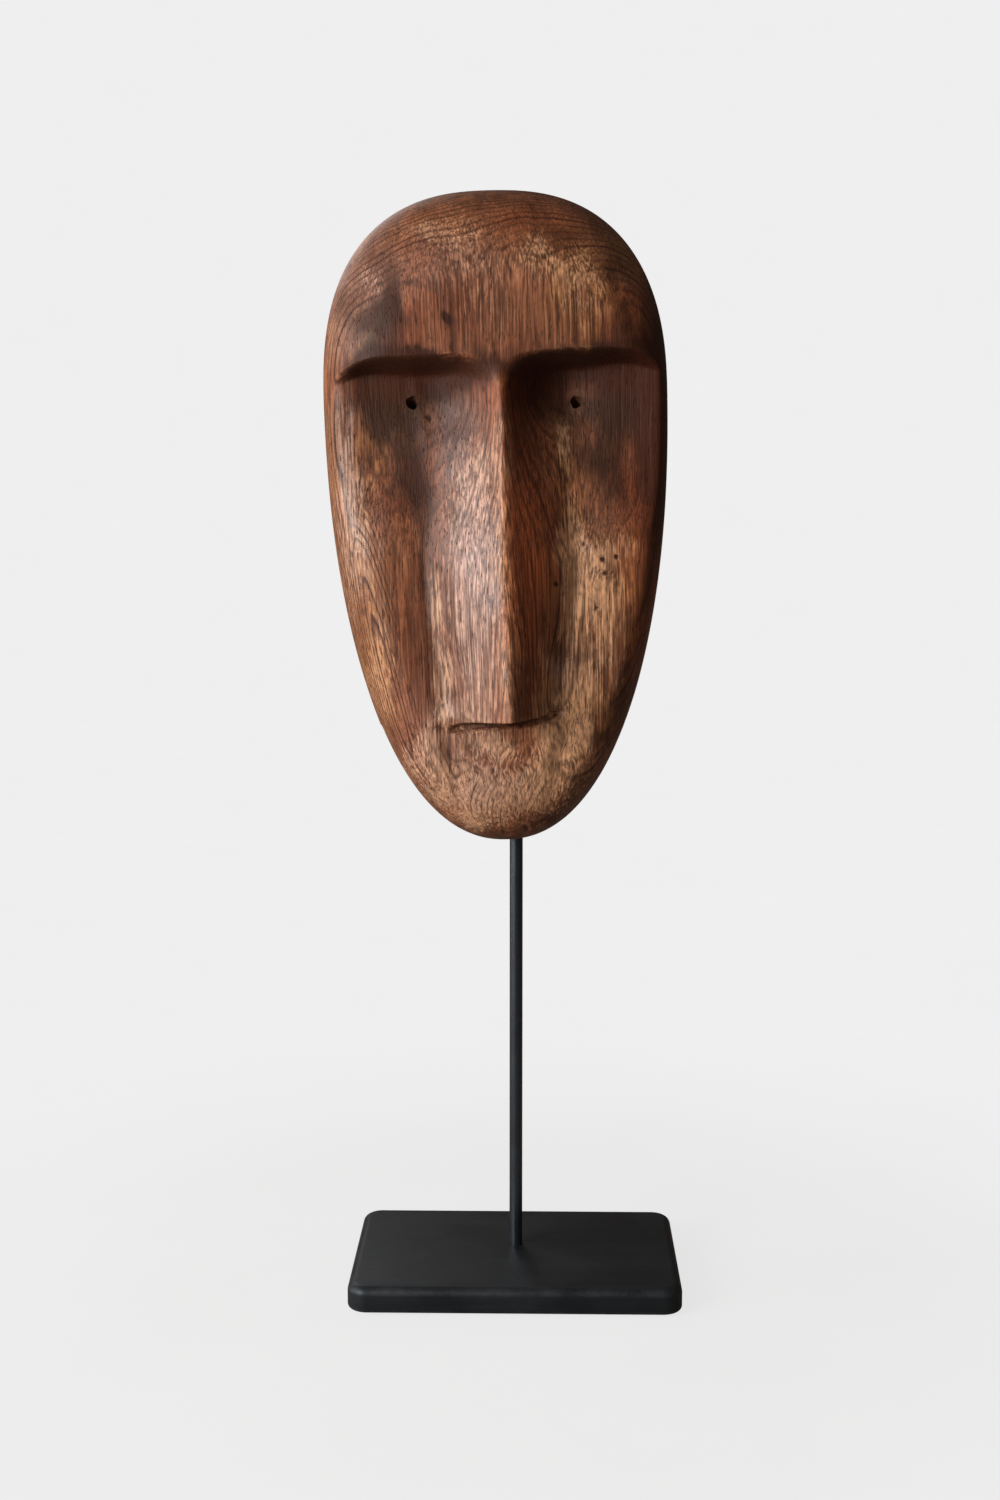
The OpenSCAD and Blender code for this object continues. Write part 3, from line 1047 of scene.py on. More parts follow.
# Worn pale, and painted light: the lit left edge and nose flank, the right cheek beside the nose and the
# lower face, brightened where the light falls.
WORN_AND_PAINTED_LIGHT = patches(
    (-13, 118, 13, 64, 0.72), (-4, 25, 30, 13, 0.95), (40, 113, 14, 20, 0.9), (-66, 150, 6, 46, 0.8),
    (30, 66, 11, 22, 1.0), (-29, 106, 3.2, 18, 0.7), (-27.5, 74, 3.2, 18, 0.7),
    (-6, 244, 19, 19, 0.3), (-24, 268, 20, 8, 0.5), (36, 244, 12, 20, 0.55), (-54, 76, 6, 26, 0.6),
    (2, 150, 2.5, 50, 0.35), (30, 130, 6, 30, 0.85), (48, 84, 7, 18, 0.35), (-58, 134, 6, 30, 0.35),
    (29, 178, 4, 12, 0.6), (-34, 42, 10, 16, 0.6), (22, 34, 14, 12, 0.5), (-6, 168, 5, 10, 0.5),
    (18, 74, 5, 18, 0.9), (6, 92, 6, 26, 0.35), (42, 84, 6, 6, 0.35), (19, 53, 8, 9, 0.8),
    (-18, 60, 7, 7, 0.4), (-6, 46, 11, 5, 0.7), (18, 38, 6, 8, 0.5), (-42, 36, 5, 5, 0.5),
    (-30, 24, 6, 6, 0.5), (-18, 12, 7, 5, 0.8), (18, 256, 9, 10, 0.5), (30, 126, 5, 11, 0.8),
    (54, 132, 6, 6, 0.4), (38, 129, 15, 5, 0.5), (29, 124, 5, 12, 0.5), (31, 50, 7, 12, 0.6),
    (-56, 210, 4, 22, 0.35), (30, 184, 4, 8, 0.4), (-54, 250, 6, 9, 0.4), (24, 198, 5, 4, 0.3),
)
OCHRE = patches(
    (-60, 168, 9, 14, 0.7), (29, 160, 7, 24, 0.8), (55, 262, 9, 9, 0.7), (40, 113, 18, 26, 0.7),
    (31, 62, 14, 22, 0.7), (36, 244, 14, 22, 0.7), (-50, 190, 14, 14, 0.4), (-55, 84, 10, 40, 0.5),
    (0, 26, 32, 14, 0.3),
)
# Painted sheen: rose-grey where the light's reflection would lie on the lit left side of the nose, brow,
# forehead and edge.
PAINTED_SHEEN = patches(
    (-14, 120, 14, 66, 0.9), (-24, 186, 14, 14, 0.8), (-52, 240, 14, 22, 0.8),
    (-20, 255, 24, 14, 0.4), (22, 84, 8, 10, 0.5), (-66, 180, 6, 60, 0.8), (-38, 60, 10, 34, 0.5),
    (-10, 30, 20, 14, 0.4),
)
# Reddening, mostly a painted shade colour: under both brows, down the right edge and on the nose's right
# flank, which lie in shade.
RUSSET_AND_PAINTED_SHADE = patches(
    (9, 160, 9, 40, 0.6), (9, 101, 9, 36, 1.0), (68, 190, 10, 70, 1.0), (62, 120, 10, 50, 0.5),
    (-36, 206, 34, 9, 0.9), (40, 205, 30, 9, 0.7), (54, 225, 12, 20, 0.5), (-40, 228, 9, 18, 0.5),
    (-20, 236, 12, 16, 0.35), (54, 160, 9, 20, 0.35), (-42, 80, 7, 34, 0.4), (-38, 162, 14, 16, 0.4),
    (16, 140, 10, 26, 0.5), (8, 204, 14, 12, 0.6), (20, 272, 26, 10, 0.4),
)
FLARED = patches(
    (-59, 104, 11, 44, 1.1), (-48, 56, 10, 24, 0.9),
)
CUPPED = patches(
    (-4, 19, 32, 13, 1.1), (-26, 34, 9, 14, 0.6),
)
CURLED = patches(
    (36, 246, 16, 20, 0.4), (0, 266, 44, 9, 0.5), (0, 34, 30, 14, 1.0), (30, 52, 9, 14, 1.0),
    (40, 120, 14, 18, 0.5), (-24, 14, 14, 8, 0.8),
)
PITS = patches(
    (44, 127, 1.1, 1.1), (50, 128, 0.9, 1.0), (23, 117, 0.9, 1.2), (45, 121, 1.2, 1.0),
    (41, 106, 1.0, 0.9), (36, 134, 0.8, 0.8), (-30, 190, 0.8, 0.9), (28, 192, 1.0, 0.9),
)


# ---------------------------------------------------------------- finishes


# The staining, hollow and russet marks also carry painted shade, the worn marks painted light and the
# rose marks a painted sheen.
MARKS = ("stain_and_painted_shade", "worn", "ochre", "painted_sheen", "russet_and_painted_shade", "flared", "cupped", "curled", "hollow", "edge",
         "rear", "slant")


@dataclass(frozen=True)
class Swirl:
    """A place in the timber where the rings close round a centre of their own."""

    centre: tuple[float, float, float]
    turn: tuple[float, float, float]
    ring_size: float
    wander: float

    def rings(self, g: Graph, timber: bpy.types.NodeTree, at: Socket) -> Socket:
        """Draws the rings.

        Args:
            g: The material's graph.
            timber: The shared timber group.
            at: The coordinates, in millimetres.

        Returns:
            The rings' dark lines, from 0 to 1.
        """
        moved = g.add("ShaderNodeMapping", vector_type="TEXTURE")
        moved.inputs["Location"].default_value = self.centre
        moved.inputs["Rotation"].default_value = tuple(math.radians(turn) for turn in self.turn)
        g.feed(moved.inputs["Vector"], at)
        grain = g.place(timber, Vector=moved.outputs[0], Pith=(0.0, 0.0, 0.0), Ring_Size=self.ring_size,
                        Wander=self.wander)
        return grain.outputs["Rings"]


@dataclass(frozen=True)
class WaxedWood:
    """Old dark brown hardwood, waxed, rubbed pale where hands wore it, with dirt and painted shade in
    the hollows and painted light, sheen and shadows on its face.
    """

    place: MaskPlace
    deep: Colour = (0.150, 0.050, 0.022)
    middle: Colour = (0.290, 0.105, 0.047)
    rubbed: Colour = (0.600, 0.315, 0.165)
    # A painted rose sheen and a painted grey sheen, standing in for the light's reflection.
    painted_sheen: Colour = (0.530, 0.330, 0.265)
    painted_grey_sheen: Colour = (0.210, 0.115, 0.095)
    ochre: Colour = (0.400, 0.170, 0.045)
    # Near black: the colour of stains and pores, and of the painted shade in hollows and the painted
    # shadows under the brows.
    stain_and_painted_shade: Colour = (0.030, 0.009, 0.003)
    # A multiplying tint that reddens the wood, mostly as a painted shade colour where shade falls.
    russet_and_painted_shade: Colour = (1.35, 0.92, 0.66)
    ring: Colour = (0.055, 0.016, 0.008)
    bare: Colour = (0.235, 0.135, 0.078)
    dust: Colour = (0.34, 0.30, 0.25)
    grain_tilt: float = 2.2
    pith: tuple[float, float, float] = (-6.0, 96.0, 0.0)
    ring_size: float = 2.0
    wander: float = 2.6
    cheek_flare: Swirl = Swirl((-61.0, -27.5, 136.0), (10.0, -10.0, -30.0), 1.6, 1.1)
    chin_cup: Swirl = Swirl((-9.0, -30.0, 84.0), (25.0, 6.0, 0.0), 1.5, 4.5)
    edge_wear: float = 0.35
    dust_amount: float = 0.5
    roughness: float = 0.47
    coat_roughness: float = 0.36
    specular: float = 0.27
    grain_depth: float = 0.34

    def build(self, effects: SharedEffects) -> bpy.types.Material:
        """Builds the finish.

        Args:
            effects: The shared node groups.

        Returns:
            The material.
        """
        made, g, shader = new_material("waxed_old_wood")
        at = in_millimetres(g, self.place.location(), self.place.rotation(self.grain_tilt))
        w = self.patterns(g, effects, at)
        # Worn places, some of them painted light, show the rubbed colour, turned rose by the painted
        # sheen.
        colour = g.blend(w["bare"], self.own_colour(g, w), g.blend(w["painted_sheen"], self.rubbed, self.painted_sheen))
        rubbed = g.place(effects.wear, Vector=at, Edge=w["edge"], Amount=self.edge_wear)
        colour = g.blend(rubbed.outputs[0], colour, self.rubbed)
        colour = g.blend(self.ring_lines(g, w), colour, self.ring)
        colour = self.stained_and_shaded(g, w, self.stranded(g, w, colour))
        colour = self.dry_backed(g, w, colour)
        settled = g.place(effects.lint, Vector=at, Amount=self.dust_amount)
        colour = g.blend(g.times(settled.outputs[0], w["rear"]), colour, self.dust)
        g.feed(shader.inputs["Base Color"], colour)
        self.set_gloss(g, w, shader)
        height = g.plus(0.6, g.times(w["half"], 0.8))
        height = g.less(height, g.times(w["pores"], 0.5))
        height = g.less(height, g.times(w["rings"], 0.18))
        height = g.plus(height, g.times(w["grit"], 0.12))
        add_bump(g, shader, height, self.grain_depth)
        return made

    def patterns(self, g: Graph, effects: SharedEffects, at: Socket) -> Patterns:
        """Gathers the marks stored on the carving and the patterns in its timber.

        Args:
            g: The material's graph.
            effects: The shared node groups.
            at: The coordinates, in millimetres, with the grain along Z.

        Returns:
            Each mark and each pattern, by its name.
        """
        w = {name: g.attribute(name) for name in MARKS}
        grain = g.place(effects.timber, Vector=at, Pith=self.pith, Ring_Size=self.ring_size,
                        Wander=self.wander)
        w.update({name.lower(): grain.outputs[name] for name in ("Rings", "Streak", "Pores", "Figure")})
        w["flare"] = self.cheek_flare.rings(g, effects.timber, at)
        w["cup"] = self.chin_cup.rings(g, effects.timber, at)
        w["patch"] = g.noise(at, (9.0, 9.0, 15.0), 4.0, 0.62, 21.0)
        w["grit"] = g.noise(at, (1.3, 1.3, 2.6), 2.0, 0.6, 25.0)
        w["blot"] = g.noise(at, (4.5, 4.5, 8.0), 3.0, 0.6, 29.0)
        fleck = g.noise(at, (1.0, 1.0, 5.5), 2.0, 0.6, 27.0)
        curl = g.noise(g.swayed(at, (8.0, 8.0, 11.0), 4.0, 17.0), (0.8, 0.8, 4.5), 1.5, 0.55, 37.0)
        share = g.ease(w["curled"], 0.1, 0.7, 0.0, 0.85)
        straight = grain.outputs["Fibre"]
        w["fibre"] = g.plus(straight, g.times(share, g.less(curl, straight)))
        w["half"] = g.less(w["fibre"], 0.5)
        w["loose"] = g.less(w["patch"], 0.5)
        w["broken"] = g.plus(w["half"], g.times(g.less(fleck, 0.5), 0.9))
        torn = g.plus(g.times(w["broken"], 1.2), g.times(w["loose"], 1.2))
        w["bare"] = g.times(g.ease(g.plus(w["worn"], torn), 0.15, 1.0),
                           g.ease(w["worn"], 0.04, 0.3, 0.0, 0.85))
        return w

    def own_colour(self, g: Graph, w: Patterns) -> Socket:
        """Mixes the timber's own browns, with a painted grey sheen.

        Args:
            g: The material's graph.
            w: The marks and patterns.

        Returns:
            The colour of unworn wood.
        """
        tone = g.plus(g.times(w["figure"], 0.55), g.times(w["streak"], 0.45))
        colour = g.blend(g.ease(tone, 0.36, 0.62), self.deep, self.middle)
        yellow = g.times(w["ochre"], g.ease(g.plus(w["patch"], w["half"]), 0.35, 0.7))
        colour = g.blend(yellow, colour, self.ochre)
        # Painted grey sheen where the rose marks lie.
        dull = g.times(w["painted_sheen"], g.ease(w["patch"], 0.3, 0.7, 0.45, 0.9))
        return g.blend(dull, colour, self.painted_grey_sheen)

    @staticmethod
    def ring_lines(g: Graph, w: Patterns) -> Socket:
        """Joins the growth rings with the flared ones on the cheek and the cupped ones on the chin.

        Args:
            g: The material's graph.
            w: The marks and patterns.

        Returns:
            How strong the dark lines are.
        """
        lines = g.times(w["rings"], g.ease(w["slant"], 0.0, 1.0, 0.45, 0.92))
        lines = g.times(lines, g.ease(w["flared"], 0.0, 0.8, 1.0, 0.1))
        lines = g.times(lines, g.ease(w["cupped"], 0.0, 0.8, 1.0, 0.3))
        flares = g.times(w["flare"], g.ease(w["flared"], 0.1, 0.6, 0.0, 1.0))
        cups = g.times(w["cup"], g.ease(w["cupped"], 0.1, 0.6, 0.0, 0.9))
        cups = g.times(cups, g.ease(w["patch"], 0.38, 0.6, 0.25, 1.0))
        return g.most(lines, g.most(flares, cups))

    def stranded(self, g: Graph, w: Patterns, colour: Socket) -> Socket:
        """Breaks a colour into light and dark strands, which are fainter on the sides and in stains.

        Args:
            g: The material's graph.
            w: The marks and patterns.
            colour: The colour to break up.

        Returns:
            The uneven colour.
        """
        tuft = g.plus(w["fibre"], g.times(w["broken"], 0.3))
        strands = self.scaled(g, colour, g.ease(tuft, 0.32, 0.68, 0.56, 1.38))
        calm = g.most(g.times(w["slant"], 0.45), g.times(w["flared"], 0.85))
        calm = g.most(calm, g.times(w["cupped"], 0.5))
        calm = g.most(calm, g.times(w["stain_and_painted_shade"], 0.7), clamp=True)
        colour = g.blend(calm, strands, colour)
        return self.scaled(g, colour, g.ease(w["grit"], 0.2, 0.8, 0.86, 1.14, smooth=False))

    def stained_and_shaded(self, g: Graph, w: Patterns, colour: Socket) -> Socket:
        """Darkens a colour with blots, stains and painted shadows, pores, and dirt with painted shade in
        hollows, and reddens it with a painted shade colour.

        Args:
            g: The material's graph.
            w: The marks and patterns.
            colour: The colour to darken.

        Returns:
            The darkened colour, with its painted shade.
        """
        blots = g.times(g.ease(w["blot"], 0.57, 0.70), g.ease(w["painted_sheen"], 0.0, 0.8, 0.45, 0.62))
        # Stains together with the painted shadows under the brows, down the right edge and under the
        # nose's end.
        soak_and_painted_shade = g.plus(w["stain_and_painted_shade"], g.times(w["loose"], 0.7))
        dark = g.most(blots, g.times(g.ease(soak_and_painted_shade, 0.15, 0.95), 0.92))
        # Pores darken, and so do the hollows, with dirt and painted shade.
        for share in (dark, g.times(w["pores"], 0.62), g.times(w["hollow"], 0.28)):
            colour = g.blend(share, colour, self.stain_and_painted_shade)
        # Painted shade colour: reddens where shade falls.
        return g.blend(w["russet_and_painted_shade"], colour, self.russet_and_painted_shade, "MULTIPLY")

    def dry_backed(self, g: Graph, w: Patterns, colour: Socket) -> Socket:
        """Leaves the back dry and unwaxed.

        Args:
            g: The material's graph.
            w: The marks and patterns.
            colour: The front's colour.

        Returns:
            The colour all round.
        """
        dry = g.times(w["rear"], g.ease(g.plus(w["patch"], w["half"]), 0.2, 0.75, 0.55, 0.95))
        raw = self.scaled(g, g.blend(g.times(w["rings"], 0.5), self.bare, self.deep),
                          g.ease(w["fibre"], 0.25, 0.75, 0.7, 1.25, smooth=False))
        return g.blend(dry, colour, raw)

    def set_gloss(self, g: Graph, w: Patterns, shader: bpy.types.Node) -> None:
        """Makes worn wood glossier and stains, painted shadows, pores and the back duller.

        Args:
            g: The material's graph.
            w: The marks and patterns.
            shader: The wood's shader.
        """
        matt = g.plus(self.roughness, g.times(w["half"], 0.3))
        matt = g.plus(matt, g.times(w["pores"], 0.25))
        matt = g.less(matt, g.times(w["bare"], 0.05))
        matt = g.plus(matt, g.times(w["stain_and_painted_shade"], 0.2))
        matt = g.plus(matt, g.times(w["rear"], 0.28), clamp=True)
        g.feed(shader.inputs["Roughness"], matt)
        polish = g.less(1.0, g.most(w["rear"], w["pores"]))
        polish = g.times(polish, g.ease(w["stain_and_painted_shade"], 0.1, 0.9, 1.0, 0.15))
        polish = g.times(polish, g.ease(w["worn"], 0.0, 0.8, 0.07, 0.26))
        g.feed(shader.inputs["Coat Weight"], polish)
        shader.inputs["Coat Roughness"].default_value = self.coat_roughness
        shader.inputs["Specular IOR Level"].default_value = self.specular

    @staticmethod
    def scaled(graph: Graph, colour: Socket, factor: Socket) -> Socket:
        """Makes a colour lighter or darker by a factor.

        Args:
            graph: The material's graph.
            colour: The colour to change.
            factor: 1 leaves it as it is.

        Returns:
            The changed colour.
        """
        made = graph.add("ShaderNodeVectorMath", operation="SCALE")
        graph.feed(made.inputs[0], colour)
        graph.feed(made.inputs["Scale"], factor)
        return made.outputs[0]


@dataclass(frozen=True)
class BlackPaint:
    """Satin black paint, rubbed grey along its edges, with faint grain or brush lines beneath."""

    name: str
    paint: Colour = (0.0125, 0.0130, 0.0145)
    worn: Colour = (0.075, 0.078, 0.082)
    roughness: float = 0.42
    line_size: tuple[float, float, float] = (60.0, 1.3, 1.3)
    line_depth: float = 0.05
    wear_amount: float = 0.5
    dust_amount: float = 0.15
    coat: float = 0.12
    coat_roughness: float = 0.3
    specular: float = 0.5
    gloss_tint: Colour = (0.86, 0.94, 1.0)
    dust: Colour = (0.20, 0.20, 0.21)

    def build(self, effects: SharedEffects) -> bpy.types.Material:
        """Builds the finish.

        Args:
            effects: The shared node groups.

        Returns:
            The material.
        """
        made, g, shader = new_material(self.name)
        at = in_millimetres(g)
        lines = g.noise(at, self.line_size, 3.0, 0.6, 31.0)
        cloud = g.noise(at, (34.0, 34.0, 34.0), 3.0, 0.55, 33.0)
        peel = g.noise(at, (2.4, 2.4, 2.4), 2.0, 0.5, 35.0)
        wear = g.place(effects.wear, Vector=at, Edge=g.attribute("edge"), Amount=self.wear_amount)
        dust = g.place(effects.lint, Vector=at, Amount=self.dust_amount)
        lighter = tuple(min(1.0, c * 1.55) for c in self.paint)
        tone = g.plus(g.times(lines, 0.5), g.times(cloud, 0.5))
        colour = g.blend(g.ease(tone, 0.35, 0.65), self.paint, lighter)
        colour = g.blend(wear.outputs[0], colour, self.worn)
        colour = g.blend(dust.outputs[0], colour, self.dust)
        g.feed(shader.inputs["Base Color"], colour)
        matt = g.ease(cloud, 0.3, 0.7, self.roughness - 0.05, self.roughness + 0.06)
        matt = g.plus(matt, g.times(g.less(lines, 0.5), 0.16))
        matt = g.plus(matt, g.times(dust.outputs[0], 0.3), clamp=True)
        g.feed(shader.inputs["Roughness"], matt)
        shader.inputs["Specular IOR Level"].default_value = self.specular
        shader.inputs["Coat Weight"].default_value = self.coat
        shader.inputs["Coat Roughness"].default_value = self.coat_roughness
        shader.inputs["Specular Tint"].default_value = (*self.gloss_tint, 1.0)
        height = g.plus(g.times(lines, 0.7), g.times(peel, 0.3))
        add_bump(g, shader, height, self.line_depth)
        return made


@dataclass(frozen=True)
class PlatedSteel:
    """Machined steel with fine turning lines, bright rubbed edges and a little tarnish."""

    name: str
    colour: Colour = (0.56, 0.56, 0.55)
    tarnish: Colour = (0.27, 0.23, 0.18)
    roughness: float = 0.28
    rubbed: Colour = (0.75, 0.75, 0.74)

    def build(self, effects: SharedEffects) -> bpy.types.Material:
        """Builds the finish.

        Args:
            effects: The shared node groups.

        Returns:
            The material.
        """
        made, g, shader = new_material(self.name)
        at = in_millimetres(g)
        apart = g.add("ShaderNodeSeparateXYZ")
        g.feed(apart.inputs[0], at)
        squares = [g.math("POWER", g.math("ABSOLUTE", apart.outputs[axis]), 2.0) for axis in (0, 1)]
        radius = g.math("SQRT", g.plus(*squares))
        ring = g.add("ShaderNodeCombineXYZ")
        g.feed(ring.inputs[0], radius)
        g.feed(ring.inputs[2], apart.outputs[2])
        turned = g.noise(ring.outputs[0], (0.12, 1.0, 0.12), 2.0, 0.6, 3.0)
        blotch = g.noise(at, (1.8, 1.8, 1.8), 3.0, 0.6, 8.0)
        wear = g.place(effects.wear, Vector=at, Edge=g.attribute("edge"), Amount=0.6)
        colour = g.blend(g.ease(blotch, 0.5, 0.75, 0.0, 0.6), self.colour, self.tarnish)
        colour = g.blend(wear.outputs[0], colour, self.rubbed)
        g.feed(shader.inputs["Base Color"], colour)
        shader.inputs["Metallic"].default_value = 1.0
        matt = g.ease(turned, 0.3, 0.7, self.roughness - 0.06, self.roughness + 0.08)
        matt = g.plus(matt, g.times(g.ease(blotch, 0.5, 0.75), 0.2), clamp=True)
        g.feed(shader.inputs["Roughness"], matt)
        add_bump(g, shader, turned, 0.012)
        return made


@dataclass(frozen=True)
class PressedFelt:
    """Dark grey pressed felt of short tangled fibres."""

    dark: Colour = (0.022, 0.023, 0.025)
    light: Colour = (0.075, 0.076, 0.080)
    dust: Colour = (0.2, 0.2, 0.2)

    def build(self, effects: SharedEffects) -> bpy.types.Material:
        """Builds the finish.

        Args:
            effects: The shared node groups.

        Returns:
            The material.
        """
        made, g, shader = new_material("pressed_felt")
        at = in_millimetres(g)
        tangle = g.noise(at, (0.5, 0.5, 0.5), 4.0, 0.7, 2.0, 3.5)
        strands = g.noise(at, (0.25, 1.6, 0.6), 2.0, 0.6, 5.0, 5.0)
        clump = g.noise(at, (4.0, 4.0, 4.0), 2.0, 0.5, 7.0)
        mixed = g.plus(g.times(tangle, 0.6), g.times(strands, 0.4))
        colour = g.blend(g.ease(mixed, 0.35, 0.66), self.dark, self.light)
        colour = g.blend(g.ease(clump, 0.5, 0.8, 0.0, 0.25), colour, self.light)
        settled = g.place(effects.lint, Vector=at, Amount=0.4)
        colour = g.blend(settled.outputs[0], colour, self.dust)
        g.feed(shader.inputs["Base Color"], colour)
        g.feed(shader.inputs["Roughness"], g.ease(clump, 0.3, 0.7, 0.86, 0.98))
        shader.inputs["Sheen Weight"].default_value = 0.35
        shader.inputs["Sheen Roughness"].default_value = 0.5
        add_bump(g, shader, mixed, 0.28)
        return made


# ---------------------------------------------------------------- the mask


@dataclass
class CarvedMask:
    """The carved wooden mask, with its eye holes, hollowed back and the rod's hole."""

    relief: Relief = field(default_factory=Relief)
    place: MaskPlace = field(default_factory=MaskPlace)
    columns: int = 264
    rows: int = 344
    front_share: float = 0.667
    crowding: float = 0.45
    eye_spacing: float = 71.6
    eye_height: float = 197.3
    eye_shift: float = -1.2
    eye_hole: float = 4.6
    eye_slope: float = 28.0
    eye_front: float = 24.0
    eye_reach: tuple[float, float] = (-60.0, 30.0)
    socket_radius: float = 3.05
    socket_depth: float = 45.0

    def build(self, effects: SharedEffects) -> bpy.types.Object:
        """Carves, cuts and dresses the mask.

        Args:
            effects: The shared node groups.

        Returns:
            The finished piece.
        """
        obj = self.carve()
        self.drill_eyes(obj)
        self.drill_socket(obj)
        self.mark(obj)
        make_active(obj)
        bpy.ops.object.shade_smooth_by_angle(angle=math.radians(50))
        return dress(obj, WaxedWood(self.place).build(effects), Body.MASK, ["mask"])

    def carve(self) -> bpy.types.Object:
        """Shapes a ball's rows and columns of points into the carved block.

        Returns:
            The block, in its place.
        """
        deselect_all()
        bpy.ops.mesh.primitive_uv_sphere_add(segments=self.columns, ring_count=self.rows, radius=1.0)
        obj = bpy.context.object
        obj.name = "carved_mask"
        ball = points_of(obj)
        row = np.rint((1 - np.arccos(np.clip(ball[:, 2], -1, 1)) / math.pi) * self.rows).astype(int)
        turn = np.arctan2(ball[:, 1], ball[:, 0]) / (2 * math.pi) * self.columns
        column = np.mod(np.rint(turn).astype(int) - self.columns // 2, self.columns)
        front_columns = 2 * int(self.columns * self.front_share / 2)
        is_front = column <= front_columns
        part = np.where(is_front, 2 * column / front_columns - 1,
                        1 - 2 * (column - front_columns) / (self.columns - front_columns))
        part = (1 - self.crowding) * part + self.crowding * np.sin(np.pi / 2 * part)
        level = self.relief.levels(self.rows)[row]
        points = self.shaped(part, level, is_front)
        for pole, ring, end in ((0, 1, 0.0), (self.rows, self.rows - 1, self.relief.height)):
            points[row == pole] = (*points[row == ring].mean(axis=0)[:2], end)
        set_points(obj, self.place.to_world(points))
        return obj

    def shaped(self, part: Array, level: Array, is_front: Array) -> Array:
        """Places points on the carved surface.

        Args:
            part: Share of the way across, from -1 to 1.
            level: Level of each point's row.
            is_front: Whether each point is on the front.

        Returns:
            The drawn points, in millimetres.
        """
        relief = self.relief
        bow = relief.ridge(level) * (1 - part * part)
        first = part * relief.half_width(level) + bow
        h = np.clip(level + relief.row_bend(first, level), 0.05, relief.height - 0.05)
        width = relief.half_width(h)
        x = part * width + bow * np.minimum(width / 20, 1)
        flat = np.column_stack([x, np.where(is_front, -30.0, 30.0), h])
        rim = np.clip(relief.inset(x, h) / 6.0, 0, 1)
        waver = 0.34 * unevenness(flat, (17, 40, 24), 4.0) + 0.13 * unevenness(flat, (5, 40, 9), 9.0)
        weather = 0.10 * unevenness(flat, (2.2, 40, 22), 13.0)
        deep = relief.front(x, h) + (waver + weather) * rim
        for pit in PITS:
            deep = deep - 0.9 * pit.cover(x, h)
        chips = smooth(0.12, 0.42, unevenness(flat, (4.5, 40, 2.2), 17.0))
        deep = deep - 0.7 * chips * bump(h, 9, 5) * smooth(0, 10, 26 - np.abs(x))
        hollow = relief.hollow(x, h)
        scallop = self.gouged(x, h) * hollow
        rough = 0.25 * unevenness(flat, (9, 40, 16), 23.0) * rim
        back = relief.rear(x, h) - 0.9 * scallop * np.where(is_front, 0.0, 1.0) + rough
        return np.column_stack([x, np.where(is_front, -deep, back), h])

    @staticmethod
    def gouged(x: Array, h: Array) -> Array:
        """Depth pattern of the gouge's overlapping scoops.

        Args:
            x: Places across, in millimetres.
            h: Heights above the chin, in millimetres.

        Returns:
            0 at a ridge between scoops, rising to 1 in a scoop.
        """
        spots = np.column_stack([x / 8.5, h / 15.0, np.zeros_like(x)])
        far = np.array([noise.voronoi(Vector(p))[0][0] for p in spots])
        return np.clip(1 - 1.25 * far, 0, 1)

    def drill_eyes(self, obj: bpy.types.Object) -> None:
        """Bores the two small eye holes, a little wider and ragged at the front.

        Args:
            obj: The carved block.
        """
        for side in (-1, 1):
            x = side * self.eye_spacing / 2 + self.eye_shift
            cutter = add_cylinder("eye_drill", self.eye_hole / 2, *self.eye_reach, sides=28)
            self.flare(cutter, side)
            points = points_of(cutter) / MM
            slope = math.radians(self.eye_slope)
            back, up = points[:, 2] + self.eye_front, points[:, 1]
            turned = np.column_stack([points[:, 0] + x,
                                      back * math.cos(slope) + up * math.sin(slope) - self.eye_front,
                                      up * math.cos(slope) - back * math.sin(slope) + self.eye_height])
            set_points(cutter, self.place.to_world(turned))
            make_active(cutter)
            bpy.ops.object.mode_set(mode="EDIT")
            bpy.ops.mesh.select_all(action="SELECT")
            bpy.ops.mesh.normals_make_consistent(inside=False)
            bpy.ops.object.mode_set(mode="OBJECT")
            cut_out(obj, cutter)

    def flare(self, cutter: bpy.types.Object, side: int) -> None:
        """Makes a straight drill slightly conical and uneven.

        Args:
            cutter: The drill, upright.
            side: -1 for the left eye and 1 for the right.
        """
        points = points_of(cutter) / MM
        reach = np.hypot(points[:, 0], points[:, 1])
        angle = np.arctan2(points[:, 1], points[:, 0])
        uneven = 1 + 0.07 * np.sin(3 * angle + side) + 0.04 * np.sin(5 * angle - side)
        wide = np.where(points[:, 2] < 0, 1.30, 0.92) * uneven
        keep = reach > 0.01
        points[keep, 0] *= wide[keep]
        points[keep, 1] *= wide[keep]
        set_points(cutter, points * MM)

    def drill_socket(self, obj: bpy.types.Object) -> None:
        """Bores the blind hole in the chin that the rod plugs into.

        Args:
            obj: The carved block.
        """
        low = self.place.chin_level - 6.0
        cut_out(obj, add_cylinder("chin_drill", self.socket_radius, low,
                                  self.place.chin_level + self.socket_depth, 40))

    def slanting(self, obj: bpy.types.Object) -> Array:
        """How far each place turns away from facing straight ahead or back.

        Args:
            obj: The finished carving.

        Returns:
            One number per vertex, 0 where it faces straight and 1 where it faces sideways.
        """
        turn = np.array(Euler(self.place.rotation(), "XYZ").to_matrix())
        drawn = vertex_normals(obj) @ turn
        return np.hypot(0.8 * drawn[:, 0], drawn[:, 2])

